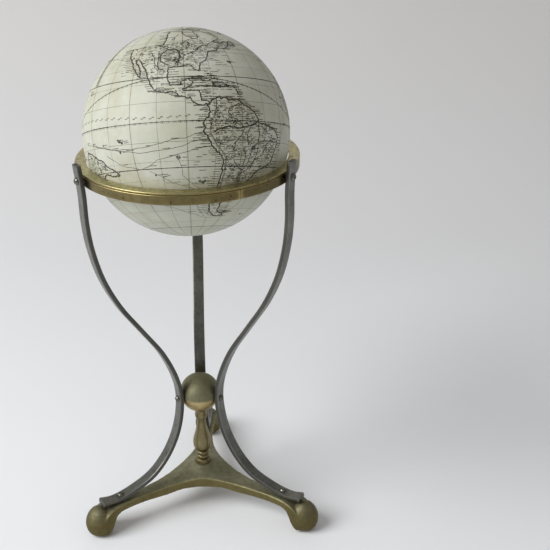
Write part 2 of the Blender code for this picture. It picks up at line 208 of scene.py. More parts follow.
def varnished_map_paper():
    """Laid rag paper pasted in gores and varnished: aged cream with a greenish cast, soft brown stains, faint
    seams where the gores meet, and a thin glossy skin that catches the window."""
    made, tree, shader = new_material(
        "varnished_map_paper",
        {"IOR": 1.45, "Coat Weight": 0.16, "Coat Roughness": 0.42, "Coat IOR": 1.5},
    )
    turned = {"vector_type": "TEXTURE", "Location": GLOBE_AT, "Rotation": POLE_TURN}
    place = add(tree, "Mapping", turned, {"Vector": add(tree, "TexCoord").outputs["Object"]}).outputs[0]
    # each seam between two gores is a hair of lifted paper and gathered dirt
    away, angle, _ = round_axis(tree, place)
    angle = add(tree, "Math", {"operation": "ADD", 1: -PRIME}, {0: angle}).outputs[0]
    angle = add(tree, "Math", {"operation": "PINGPONG", 1: TURN / GORES / 2}, {0: angle}).outputs[0]
    off_seam = add(tree, "Math", {"operation": "MULTIPLY"}, {0: angle, 1: away}).outputs[0]
    seam = add(tree, "MapRange", {"From Min": 0.0006, "From Max": 0.0001}, {"Value": off_seam}).outputs[0]
    colour = layer(tree, "#C8CBC0", patches(tree, place, 0.060, 0.36, 0.66, 5.0), "#BABCAA")
    colour = layer(tree, colour, patches(tree, place, 0.011, 0.35, 0.70, 5.0), "#ADA88E", 0.40)
    colour = layer(tree, colour, patches(tree, place, 0.042, 0.53, 0.74, 6.0, 0.65, 3.0), "#A2967A", 0.50)
    colour = layer(tree, colour, patches(tree, place, 0.0032, 0.70, 0.78, 3.0), "#8F7F60", 0.35)
    colour = layer(tree, colour, off_seam, "#8F886A", 0.07, 0.0040, 0.0)
    colour = layer(tree, colour, seam, "#7E765C", 0.55)
    rough = patches(tree, place, 0.020, 0.3, 0.7, least=0.50, most=0.66)
    fibres = patches(tree, place, 0.0007)
    finish(tree, shader, colour, rough, ((seam, 0.00005, 1.0), (fibres, 0.000012, 1.0)))
    return made


def engraving_ink(name, dark, faded, grain):
    """Printing ink in the paper under the varnish: it breaks up and fades where the copper plate was worn."""
    made, tree, shader = new_material(name, {"IOR": 1.45, "Coat Weight": 0.12, "Coat Roughness": 0.4})
    place = add(tree, "TexCoord").outputs["Object"]
    colour = layer(tree, dark, patches(tree, place, grain, 0.38, 0.68, 5.0, 0.7), faded)
    finish(tree, shader, colour, patches(tree, place, 0.002, 0.3, 0.7, least=0.45, most=0.65))
    return made


def tarnished_sheet_brass():
    """Rolled brass plate, once lacquered: dull olive tarnish with yellow metal showing through where hands
    rub it, a painted highlight on its top and edges, fine marks round the ring, and dark pits where the
    lacquer broke."""
    made, tree, shader = new_material("tarnished_sheet_brass", {"Metallic": 1.0})
    place = from_axis(tree)
    marks = round_marks(tree, 0.00035)
    small = patches(tree, place, 0.0045, 0.42, 0.74, 5.0, 0.65)
    pits = patches(tree, place, 0.0036, 0.655, 0.72, 2.0, 0.4, 1.0)
    surface = add(tree, "NewGeometry").outputs
    facing_up = add(tree, "SeparateXYZ", links={0: surface["Normal"]}).outputs[2]
    colour = layer(tree, "#7B6F4B", patches(tree, place, 0.030, 0.34, 0.68, 6.0, 0.62), "#5B503A")
    # the plate's top is painted paler and greyer than the rest: a painted highlight from the light above
    colour = layer(tree, colour, facing_up, "#DED6A4", 0.85, 0.4, 0.9)
    colour = layer(tree, colour, small, "#4C432E", 0.60)
    colour = layer(tree, colour, marks, "#98905C", 0.22, 0.3, 0.7)
    # convex edges painted yellower: rubbed metal, with a painted highlight where the rounded lip catches the
    # light
    colour = layer(tree, colour, surface["Pointiness"], "#C9B67C", 0.55, 0.51, 0.56)
    colour = layer(tree, colour, patches(tree, place, 0.0013, 0.64, 0.74, 2.0), "#4A3F26", 0.5)
    colour = layer(tree, colour, pits, "#33291A", 0.85)
    rough = add(tree, "Math", {"operation": "MULTIPLY_ADD", 1: 0.16, 2: 0.30}, {0: small}).outputs[0]
    rough = add(tree, "Math", {"operation": "MULTIPLY_ADD", 1: 0.30}, {0: pits, 2: rough}).outputs[0]
    unpitted = add(tree, "Math", {"operation": "SUBTRACT", 0: 1.0}, {1: pits}).outputs[0]
    finish(tree, shader, colour, rough, ((marks, 0.00002, 0.7), (unpitted, 0.00012, 0.8)))
    return made


def turned_aged_brass():
    """Brass bar turned on a lathe and left to darken: brown-olive on top and yellower underneath, partly as
    painted reflections of the dim room and the pale floor, with rings of fine tool marks and dark dirt in the
    grooves."""
    made, tree, shader = new_material("turned_aged_brass", {"Metallic": 1.0})
    place = from_axis(tree)
    height = add(tree, "SeparateXYZ", links={0: place}).outputs[2]
    bend = add(tree, "NewGeometry").outputs["Pointiness"]
    cloud = patches(tree, place, 0.014, 0.35, 0.68, 5.0, 0.6)
    # the ball is painted greyer olive on its upper half and brighter gold underneath: partly its own colour,
    # partly painted reflections of the dim room above and the pale floor below
    found = []
    for low, high in ((-0.0014, 0.0010), (0.0010, -0.0020), (-0.0195, -0.0170)):
        reach = {"From Min": BALL_Z + low, "From Max": BALL_Z + high}
        found.append(add(tree, "MapRange", reach, {"Value": height}).outputs[0])
    upper, lower, over_column = found
    underside = add(tree, "Math", {"operation": "MULTIPLY"}, {0: lower, 1: over_column}).outputs[0]
    colour = layer(tree, "#918663", cloud, "#796F50")
    colour = layer(tree, colour, underside, layer(tree, "#C8B587", cloud, "#AB9A6C"))
    colour = layer(tree, colour, upper, "#85846A", 0.88)
    colour = layer(tree, colour, patches(tree, place, 0.0028, 0.45, 0.72, 4.0, 0.6), "#5F573F", 0.35)
    colour = layer(tree, colour, bend, "#C9B888", 0.4, 0.56, 0.70)
    colour = layer(tree, colour, bend, "#2E2617", 0.7, 0.46, 0.38)
    rough = add(tree, "Math", {"operation": "MULTIPLY_ADD", 1: 0.10, 2: 0.36}, {0: cloud}).outputs[0]
    rough = add(tree, "Math", {"operation": "MULTIPLY_ADD", 1: 0.22}, {0: upper, 2: rough}).outputs[0]
    finish(tree, shader, colour, rough, ((round_marks(tree, 0.00030), 0.000015, 0.8),))
    return made


def sand_cast_brass():
    """Brass cast in sand, filed and long since darkened: a fine pebbled skin, olive on top, painted shade on
    the walls and knobs, yellow along the edges that get rubbed, brown-green dirt in the hollows."""
    made, tree, shader = new_material("sand_cast_brass", {"Metallic": 1.0})
    place = from_axis(tree)
    small = patches(tree, place, 0.0050, 0.42, 0.72, 5.0, 0.65)
    surface = add(tree, "NewGeometry").outputs
    facing_up = add(tree, "SeparateXYZ", links={0: surface["Normal"]}).outputs[2]
    colour = layer(tree, "#9B997F", patches(tree, place, 0.026, 0.35, 0.68, 6.0, 0.6), "#858369")
    # the walls are painted darker and browner than the top: painted shade where they turn away from the light
    # above
    colour = layer(tree, colour, facing_up, "#776B40", 0.85, 0.70, 0.15)
    colour = layer(tree, colour, small, "#615F48", 0.45)
    colour = layer(tree, colour, surface["Pointiness"], "#AB9D62", 0.50, 0.51, 0.55)
    colour = layer(tree, colour, surface["Pointiness"], "#3A341F", 0.5, 0.49, 0.45)
    # the knobs at the arms' ends are painted darker: painted shade
    colour = layer(tree, colour, round_axis(tree, place)[0], "#5A5132", 0.42, 0.094, 0.108)
    rough = add(tree, "Math", {"operation": "MULTIPLY_ADD", 1: 0.14, 2: 0.58}, {0: small}).outputs[0]
    sand = patches(tree, place, 0.0011, detail=3.0, rough=0.6)
    dents = patches(tree, place, 0.004, detail=3.0)
    finish(tree, shader, colour, rough, ((sand, 0.00006, 0.6), (dents, 0.00025, 0.5)))
    return made


def brushed_dark_steel():
    """Bent mild steel strap, draw-filed along its length and browned by age: a grey-brown skin with long
    scratches, lighter where the edges are rubbed, and brassy specks of polish left round the foot screw."""
    made, tree, shader = new_material("brushed_dark_steel", {"Metallic": 1.0})
    lay = add(tree, "Attribute", {"attribute_name": "lay"}).outputs["Vector"]
    along, across, out = add(tree, "SeparateXYZ", links={0: lay}).outputs
    # file scratches about 0.15 mm apart and 20 mm long, drawn 0.3 mm apart so that they show
    drawn = add(tree, "Math", {"operation": "MULTIPLY", 1: 0.015}, {0: along}).outputs[0]
    drawn = add(tree, "CombineXYZ", links={0: drawn, 1: across, 2: out}).outputs[0]
    scratch = patches(tree, drawn, 0.0003, rough=0.6)
    place = add(tree, "TexCoord").outputs["Object"]
    cloud = patches(tree, place, 0.022, 0.34, 0.68, 6.0, 0.65)
    small = patches(tree, place, 0.0030, 0.48, 0.74, 4.0, 0.6)
    foot = add(tree, "MapRange", {"From Min": 0.045, "From Max": 0.012}, {"Value": along}).outputs[0]
    specks = patches(tree, place, 0.0013, 0.52, 0.66, 4.0, 0.7)
    brassy = add(tree, "Math", {"operation": "MULTIPLY"}, {0: foot, 1: specks}).outputs[0]
    # the broad faces are filed and pale, the outer one most; the sides are painted dark: painted shade
    colour = layer(tree, "#3B3936", cloud, "#2A2826")
    colour = layer(tree, colour, out, layer(tree, "#72736D", cloud, "#585853"), 1.0, -0.0012, -0.0019)
    colour = layer(tree, colour, out, layer(tree, "#82837D", cloud, "#64645F"), 1.0, 0.0012, 0.0019)
    colour = layer(tree, colour, scratch, "#85847D", 0.28, 0.35, 0.7)
    colour = layer(tree, colour, small, "#35322B", 0.5)
    colour = layer(tree, colour, add(tree, "NewGeometry").outputs["Pointiness"], "#A9A8A0", 0.5, 0.52, 0.60)
    colour = layer(tree, colour, brassy, "#8F8D69", 0.55)
    reach = {"From Min": 0.3, "From Max": 0.7, "To Min": 0.30, "To Max": 0.46}
    rough = add(tree, "MapRange", reach, {"Value": scratch}).outputs[0]
    finish(tree, shader, colour, rough, ((scratch, 0.000025, 0.8), (small, 0.00004, 0.5)))
    return made


def blued_screw_steel():
    """Turned screw steel: dark, a little greasy, polished bright on the crown of the head."""
    made, tree, shader = new_material("blued_screw_steel", {"Metallic": 1.0})
    place = add(tree, "TexCoord").outputs["Object"]
    small = patches(tree, place, 0.0012, 0.40, 0.72, 4.0, 0.6)
    colour = layer(tree, "#77766C", small, "#46433A")
    colour = layer(tree, colour, add(tree, "NewGeometry").outputs["Pointiness"], "#A6A595", 0.6, 0.52, 0.62)
    rough = add(tree, "Math", {"operation": "MULTIPLY_ADD", 1: 0.20, 2: 0.24}, {0: small}).outputs[0]
    finish(tree, shader, colour, rough, ((patches(tree, place, 0.0006, detail=3.0), 0.00002, 0.7),))
    return made


def raw_pasteboard():
    """Sheets of waste paper pasted together: brown, matt and fibrous, in thin layers."""
    made, tree, shader = new_material("raw_pasteboard", {"Roughness": 0.85, "IOR": 1.45})
    place = add(tree, "TexCoord").outputs["Object"]
    flat = add(tree, "Mapping", {"Scale": (1.0, 1.0, 12.0)}, {"Vector": place}).outputs[0]
    fibre = patches(tree, flat, 0.004, detail=6.0, rough=0.7)
    colour = layer(tree, "#A48B63", fibre, "#7E6844", 1.0, 0.35, 0.68)
    finish(tree, shader, colour, bumps=((fibre, 0.0001, 0.6),))
    return made


def turned_limewood():
    """Plain turned wood, never varnished: pale brown with rings of growth and a dry surface."""
    made, tree, shader = new_material("turned_limewood", {"Roughness": 0.7, "IOR": 1.5})
    place = add(tree, "TexCoord").outputs["Object"]
    waves = {"Scale": 1 / 0.010, "Distortion": 3.0, "Detail": 3.0, "bands_direction": "X"}
    rings = add(tree, "TexWave", waves, {"Vector": place}).outputs[1]
    pores = patches(tree, place, 0.0012)
    colour = layer(tree, layer(tree, "#B08A5A", rings, "#8A6638"), pores, "#5A4024", 0.3, 0.55, 0.7)
    finish(tree, shader, colour, bumps=((pores, 0.00006, 0.6),))
    return made


def studio_paper():
    """A roll of matt background paper: cool white in front, painted to a neutral grey behind, a painted shade
    where the light falls off.
    """
    made, tree, shader = new_material("studio_paper", {"Roughness": 0.9, "IOR": 1.4})
    place = add(tree, "TexCoord").outputs["Object"]
    cloud = patches(tree, place, 0.5, detail=3.0)
    _, y, z = add(tree, "SeparateXYZ", links={0: place}).outputs
    # the rear is painted greyer than the front: painted shade
    behind = add(tree, "Math", {"operation": "ADD"}, {0: y, 1: z}).outputs[0]
    front, rear = layer(tree, "#F0F2F5", cloud, "#ECEEF1"), layer(tree, "#D8D5D2", cloud, "#D3D0CD")
    finish(tree, shader, layer(tree, front, behind, rear, 1.0, 0.1, 2.2))
    return made


PAPER = varnished_map_paper()
DARK_INK = engraving_ink("dark_engraving_ink", "#26231A", "#454133", 0.006)
FINE_INK = engraving_ink("fine_engraving_ink", "#2E2B20", "#555140", 0.005)
FAINT_INK = engraving_ink("faint_engraving_ink", "#5C5A49", "#8D8B77", 0.008)
SHEET_BRASS = tarnished_sheet_brass()
TURNED_BRASS = turned_aged_brass()
CAST_BRASS = sand_cast_brass()
STEEL = brushed_dark_steel()
SCREW_STEEL = blued_screw_steel()
PASTEBOARD = raw_pasteboard()
WOOD = turned_limewood()

# ---------------------------------------------------------------- bench work


def free():
    """Object mode, nothing selected."""
    held = bpy.context.view_layer.objects.active
    if held and held.mode != "OBJECT":
        bpy.ops.object.mode_set(mode="OBJECT")
    bpy.ops.object.select_all(action="DESELECT")


def hold(obj):
    free()
    obj.select_set(True)
    bpy.context.view_layer.objects.active = obj


def settle(obj, location=(0, 0, 0), rotation=(0, 0, 0)):
    """Moves and turns a piece, and puts that into its mesh."""
    hold(obj)
    obj.location, obj.rotation_euler = location, rotation
    bpy.ops.object.transform_apply(location=True, rotation=True, scale=True)


def work(obj, kind, **settings):
    """Adds a modifier and applies it."""
    tool = obj.modifiers.new(kind.lower(), kind)
    for key, value in settings.items():
        setattr(tool, key, value)
    hold(obj)
    bpy.ops.object.modifier_apply(modifier=tool.name)


def copy_of(obj):
    """A copy with its own mesh."""
    made = obj.copy()
    made.data = obj.data.copy()
    bpy.context.scene.collection.objects.link(made)
    return made


def done(obj, name, material, body, slot, *nodes, angle=35):
    """Names a finished piece, gives it its material and its body, and hides the imported nodes it stands for.
    """
    obj.name = obj.data.name = name
    obj.data.materials.clear()
    obj.data.materials.append(material)
    hold(obj)
    bpy.ops.object.shade_smooth_by_angle(angle=math.radians(angle))
    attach(obj, body)
    if nodes:
        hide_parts(*nodes)
    return obj


def draw_line(points):
    """An edge line through (distance from the axis, height), drawn corner by corner and left in edit mode."""
    free()
    bpy.ops.mesh.primitive_plane_add(size=MM, location=(0, 0, 0))
    bpy.ops.object.mode_set(mode="EDIT")
    bpy.ops.mesh.select_mode(type="VERT")
    bpy.ops.mesh.select_all(action="SELECT")
    bpy.ops.mesh.merge(type="CENTER")
    bpy.ops.transform.translate(value=(points[0][0], 0, points[0][1]))
    for (r0, z0), (r1, z1) in zip(points, points[1:]):
        step = {"value": (r1 - r0, 0, z1 - z0)}
        bpy.ops.mesh.extrude_region_move(TRANSFORM_OT_translate=step)
    return bpy.context.object


def lathe(points, steps, closed=False, sweep=TURN):
    """Spins a line round the axis. A closed line comes back to its start, and a part turn gets end faces."""
    obj = draw_line(points + points[:1] if closed else points)
    bpy.ops.mesh.select_all(action="SELECT")
    bpy.ops.mesh.remove_doubles(threshold=1e-6)
    if sweep < TURN:
        bpy.ops.mesh.edge_face_add()
    bpy.ops.mesh.spin(steps=steps, angle=sweep, center=(0, 0, 0), axis=(0, 0, 1))
    bpy.ops.mesh.select_all(action="SELECT")
    bpy.ops.mesh.remove_doubles(threshold=1e-6)
    bpy.ops.mesh.normals_make_consistent(inside=False)
    bpy.ops.object.mode_set(mode="OBJECT")
    return obj


def arc(r, z, radius, start, end, steps):
    """Points on a circle round (r, z); 0 degrees points outwards."""
    turns = [math.radians(start + (end - start) * i / steps) for i in range(steps + 1)]
    return [(r + radius * math.cos(a), z + radius * math.sin(a)) for a in turns]


def eased(points, per_span):
    """A smooth line through the points."""
    knots = [Vector(p) for p in points]
    knots = [2 * knots[0] - knots[1], *knots, 2 * knots[-1] - knots[-2]]
    found = []
    for a, b, c, d in zip(knots, knots[1:], knots[2:], knots[3:]):
        for i in range(per_span):
            t = i / per_span
            square, cube = 2 * a - 5 * b + 4 * c - d, 3 * b - a - 3 * c + d
            found.append(0.5 * (2 * b + (c - a) * t + square * t**2 + cube * t**3))
    return [tuple(p) for p in found] + [tuple(points[-1])]


# ---------------------------------------------------------------- globe paper


def make_paper():
    """Two pasted half shells, with a hair's gap where they meet under the equator line."""
    for name, node, way in (("paper_north", "north_shell", 1), ("paper_south", "south_shell", -1)):
        free()
        bpy.ops.mesh.primitive_uv_sphere_add(segments=240, ring_count=120, radius=PAPER_R, location=(0, 0, 0))
        half = bpy.context.object
        bpy.ops.object.mode_set(mode="EDIT")
        bpy.ops.mesh.select_all(action="SELECT")
        bpy.ops.mesh.bisect(plane_co=(0, 0, way * HALVES_GAP / 2), plane_no=(0, 0, way), clear_inner=True)
        bpy.ops.object.mode_set(mode="OBJECT")
        work(half, "SOLIDIFY", thickness=PAPER_WALL, offset=-1.0, use_even_offset=True)
        settle(half, GLOBE_AT, POLE_TURN)
        done(half, name, PAPER, "globe", "map_paper", node, angle=30)


# ---------------------------------------------------------------- the engraved map
#
# Longitudes and latitudes in degrees, coasts as an old engraver might have had them.

# the north-west was not yet known, so this coast is left open there
NORTH_AMERICA = (
    (-129, 45), (-129.5, 43), (-127.5, 39), (-124, 35), (-120.5, 30), (-117.5, 26.5), (-116, 24.5),
    (-115.5, 26), (-116, 28.5), (-118.5, 32), (-122, 36), (-119.5, 36.5), (-117.5, 35), (-115, 31.5),
    (-112, 28), (-111, 24), (-108.5, 20), (-106.5, 16.5), (-102, 15.5), (-99, 15), (-96.5, 15.3),
    (-93, 13.2), (-89.5, 11.8), (-87.3, 12), (-86.5, 10), (-85, 9), (-82.5, 7.8), (-80.8, 7.6),
    (-79.3, 8.8), (-78, 8.2), (-77.2, 9), (-79.2, 10.1), (-81.5, 9.8), (-82.2, 12), (-82.4, 15.5),
    (-86.5, 15.8), (-90.5, 15.5), (-91.5, 16.5), (-89, 17.4), (-86.2, 18.4), (-86, 21), (-88.3, 22),
    (-91, 21), (-92.7, 19), (-95, 19), (-98, 19), (-99.2, 22), (-99.5, 25), (-99.5, 28), (-99, 29.3),
    (-97, 29.5), (-91.3, 29.8), (-88, 30.7), (-86, 30.3), (-84.5, 28.4), (-82.3, 27), (-81, 27),
    (-80.4, 31), (-79.2, 32.2), (-76, 34), (-74.3, 37.2), (-72.4, 40.3), (-66.5, 41.4), (-64.4, 44),
    (-60.3, 42.6), (-55.5, 45), (-50.5, 50), (-56, 49.5), (-60, 47.6), (-66, 49.5), (-60, 52),
    (-57, 54), (-60, 57), (-64, 60), (-70, 62), (-77.5, 62), (-78, 58.5), (-75.5, 54.5), (-79, 51.5),
    (-82, 52.5), (-86, 55), (-90, 58), (-90, 60.5), (-96.5, 62.5), (-104, 61.5), (-104, 55),
    (-103.5, 51), (-104, 46.5), (-112, 46.5),
)
SOUTH_AMERICA = (
    (-77.2, 8.6), (-76, 10.6), (-74.2, 11.2), (-72, 12.1), (-71.4, 10.6), (-70, 12), (-67.5, 10.8),
    (-64.5, 10.4), (-62, 10.9), (-60.3, 9.4), (-58, 8.2), (-55, 6.6), (-52.5, 5), (-51, 3), (-49.8, 1),
    (-49.6, -1), (-46, -1.2), (-42, -2.4), (-38, -3.2), (-35, -4.6), (-33.6, -7.4), (-33.2, -10.5),
    (-34.4, -14), (-35.6, -18), (-36.5, -21.5), (-40, -23.5), (-45, -25), (-48.5, -27.5), (-50.5, -30.5),
    (-53, -33.5), (-56, -35.2), (-58.5, -34.2), (-57.2, -36.6), (-59, -38.8), (-62.5, -39.2),
    (-65, -41), (-63.8, -42.8), (-65.5, -45), (-67.2, -46.4), (-66, -48), (-67.8, -50.4), (-66, -52.4),
    (-62.5, -53), (-60.5, -54.6), (-66, -55.6), (-70, -54.6), (-73.4, -52.4), (-75, -50), (-75.2, -47),
    (-73.6, -44), (-73.8, -40), (-73, -37), (-71.6, -33), (-71.2, -29), (-70.6, -25), (-70.4, -20.5),
    (-72, -17.4), (-75.6, -14.4), (-77.4, -11.6), (-79.4, -8.2), (-81.4, -5.4), (-80.4, -3.2),
    (-81.6, -1.6), (-80.4, 0.8), (-78.8, 2), (-77.6, 4), (-78, 6.4), (-78.6, 7.6),
)
AFRICA = (
    (-17, 15), (-16.5, 20), (-13, 27.5), (-9.7, 30), (-6, 35.8), (0, 36), (10, 37.3), (11, 34), (20, 31),
    (25, 31.8), (32, 31.2), (33.5, 28), (37, 21), (39.5, 15.5), (43, 11.7), (51, 11.8), (48, 5),
    (42, -1), (39, -6), (40.7, -15), (35, -20), (35.5, -24), (32.8, -27), (30, -31), (25.5, -34),
    (20, -34.8), (18, -32), (15, -27), (12, -18), (13.7, -11), (12, -5), (9, -1), (9.6, 4), (5, 5.8),
    (-4, 5), (-8, 4.4), (-13, 8), (-16.8, 12.5),
)
OLD_WORLD = (
    (-9.5, 38.7), (-9, 43), (-1.8, 43.5), (-1.5, 47), (-4.8, 48.4), (1.5, 50.5), (5, 53), (8.5, 54),
    (8.3, 57), (10.5, 57.7), (10.5, 54.5), (19, 54.5), (21.5, 57), (24, 59), (28, 60), (22, 60.5),
    (21.5, 63), (25, 65.5), (18, 62), (17, 58), (13, 55.6), (11, 59), (5.5, 59), (5.5, 62.5),
    (14, 67.5), (25, 71), (40, 67.5), (34, 66.5), (42, 65), (45, 68), (55, 68.5), (68, 68.5), (73, 72),
    (80, 73), (98, 76), (110, 74), (125, 73), (140, 72.5), (160, 70), (179, 69), (178, 65), (170, 60),
    (163, 59.5), (162, 56), (156.8, 51.2), (156, 57), (162, 61.5), (155, 59.3), (142, 59), (136, 54.5),
    (141, 52.8), (139, 47.5), (132, 43), (129.5, 41), (129.3, 36), (126.5, 34.5), (125, 38.5),
    (121.5, 39), (118, 39), (122, 37), (119.3, 35), (122, 31), (121.5, 28), (117, 23.5), (110.5, 21.3),
    (108, 21.5), (105.8, 19), (109, 13), (107, 10.4), (104.8, 8.6), (105, 10.5), (102.3, 12.2),
    (100.5, 13.5), (99.3, 10), (103.3, 4), (104, 1.4), (101.3, 2.8), (98.3, 8), (98.6, 13), (97.5, 16.5),
    (94.3, 16), (94, 19), (91.8, 22.5), (88, 21.6), (86.5, 20), (82.3, 16.6), (80.2, 15), (80, 12),
    (78, 8.4), (76.3, 10), (73.5, 16), (72.7, 21), (70.5, 20.8), (67, 24.8), (61.5, 25.2), (57, 26.8),
    (53, 26.7), (50, 30), (48, 29.8), (50.3, 26.5), (54.5, 24.2), (56.4, 26.2), (59.8, 22.5), (55, 17.5),
    (45, 12.9), (43, 13), (42.6, 16.5), (39, 21), (35, 28), (34.5, 31.5), (36, 36), (30.5, 36.5),
    (27.3, 37), (26.5, 40), (29, 41.2), (35, 42), (41.5, 41.5), (37, 45), (33.5, 45), (31, 46.6),
    (28, 43.5), (26, 40.7), (23.5, 40.3), (23, 37.8), (21.5, 37), (19.5, 41.5), (13.5, 45.6), (14, 42.3),
    (18.3, 40), (16, 38.3), (12, 42), (8.8, 44.4), (3.3, 43.3), (-0.3, 39.5), (-2, 36.8), (-6, 36.3),
)
NEW_HOLLAND = (
    (114, -22), (113.5, -26), (115.7, -32), (118, -35), (124, -33.5), (131, -31.5), (135.5, -34.8),
    (138, -33.5), (140.5, -38), (147, -38.3), (150, -37.3), (153, -31), (153, -26), (149, -21),
    (146, -18.8), (143.5, -14), (142, -11), (141, -16.5), (137.5, -16), (136.5, -12), (131, -12),
    (128.5, -15), (124.5, -16.5), (121.5, -19),
)
GREENLAND = (
    (-45, 60), (-52, 64), (-54, 68), (-58, 75), (-68, 76), (-65, 80), (-40, 83), (-20, 80), (-20, 74),
    (-23, 70), (-37, 66), (-42, 62),
)
# a coast that voyagers guessed at in the south sea
GUESSED_LAND = (
    (-160, -11), (-154, -12.5), (-149, -15.5), (-144, -17), (-141, -20.5), (-137, -22), (-133, -25.5),
    (-139, -26), (-145, -24), (-150, -26.5), (-156, -24), (-162, -25.5), (-166, -20), (-164, -15),
)
ISLANDS = (
    ((-52, 47.5), (-47, 46.5), (-45.5, 49), (-47, 51.5), (-50, 50.5)),
    ((-90, 64), (-82, 69), (-72, 70), (-66, 65), (-72, 63.5), (-80, 65)),
    ((-86, 22.5), (-83.5, 23.6), (-80.5, 23.6), (-77, 21.8), (-75.6, 20.6), (-79, 20.9), (-82, 21.9)),
    ((-75, 19.2), (-72, 20.2), (-69.6, 20), (-66.5, 18.6), (-69, 17.4), (-73, 17.4)),
    ((-78.4, 18.3), (-76.3, 18.1), (-77.4, 17.7)),
    ((-67.3, 18.5), (-65.5, 18.5), (-66.4, 17.8)),
    ((49.3, -12), (50.3, -16), (47, -24.8), (44, -25), (43.5, -21.5), (44.5, -16.5)),
    ((-5.5, 50.1), (1, 51), (0.3, 53), (-1.7, 55.5), (-2, 57.6), (-5, 58.6), (-5.7, 56), (-3, 54)),
    ((-10, 52), (-6.3, 52.2), (-6, 54.5), (-8.3, 55.2), (-9.8, 53.8)),
    ((-22, 64), (-15, 64.5), (-15.5, 66.3), (-22.5, 66.3), (-24, 65.2)),
    ((130.5, 31.3), (131.8, 34), (136, 35.7), (140, 40.5), (141.8, 39.5), (140.8, 36), (135.5, 33.6)),
    ((109, 1.5), (113, 3.5), (117, 7), (119, 5), (117.5, 1), (116, -3.8), (111, -3), (109.3, -0.5)),
    ((95.3, 5.5), (100, 2.5), (106, -3), (105.8, -5.8), (101, -2.8), (98, 1)),
    ((105.3, -6.7), (108.5, -6.6), (114.3, -7.8), (110, -8.1)),
    ((119.5, -5.4), (119.8, 0.3), (125, 1.4), (121, 0.3), (121.3, -3), (122.5, -5.3)),
    ((131, -1), (134, -0.9), (138, -1.8), (145, -4.5), (148, -9), (150.5, -10.5), (144, -8), (138.5, -8.3)),
    ((120.5, 18.3), (122.3, 17), (124, 12.8), (120.5, 14)),
    ((173, -35), (178, -38), (175, -41.5), (170, -46), (167, -45.5), (172, -41)),
    ((145, -41), (148, -41), (147, -43.5)),
    ((80, 9.5), (81.7, 7), (80.3, 6)),
    ((-61.5, -51.3), (-58, -51.4), (-59, -52.3), (-61, -52.2)),
)
# small islands in the ocean, as (longitude, latitude, half width in degrees)
ISLETS = (
    (-127.5, -8.1, 1.1), (-126, -9.0, 0.8), (-128.4, -7.4, 0.6), (-128, -13.6, 0.7), (-95.1, -18.2, 1.2),
    (-83.5, -31.5, 0.9), (-81.6, -31.9, 0.9), (-80.2, -31.2, 0.5), (-109, -27, 0.5),
    (-60.5, 33, 1.1), (-61.8, 33.3, 0.6), (-63, 18, 0.4), (-62.4, 17.2, 0.4),
    (-61.6, 16.2, 0.5), (-61.3, 15.2, 0.4), (-61, 14.4, 0.4), (-61, 13.6, 0.3), (-61.4, 12.4, 0.3),
    (-60.8, 11.2, 0.5), (-75, 24, 0.5), (-76.6, 25, 0.5), (-73.4, 22.6, 0.4), (-71.8, 21.6, 0.4),
    (-155.6, 19.6, 0.9), (-157.8, 21.3, 0.5), (-149.5, -17.6, 0.6), (-140, -9, 0.5), (-52.7, -13.8, 1.0),
    (-28, 38.5, 0.6), (-25.5, 37.7, 0.5), (-17, 32.7, 0.5), (-15.6, 28, 0.6), (-17, 28.3, 0.5),
    (-24, 15, 0.6), (-5.7, -16, 0.4), (-14.4, -8, 0.4), (55.5, -21, 0.6), (57.6, -20.2, 0.5), (73, 4, 0.4),
    (178, -17.5, 0.8), (165.5, -21.5, 1.0), (-175, -21, 0.4), (-172, -13.7, 0.5), (-38, -54.4, 0.8),
)
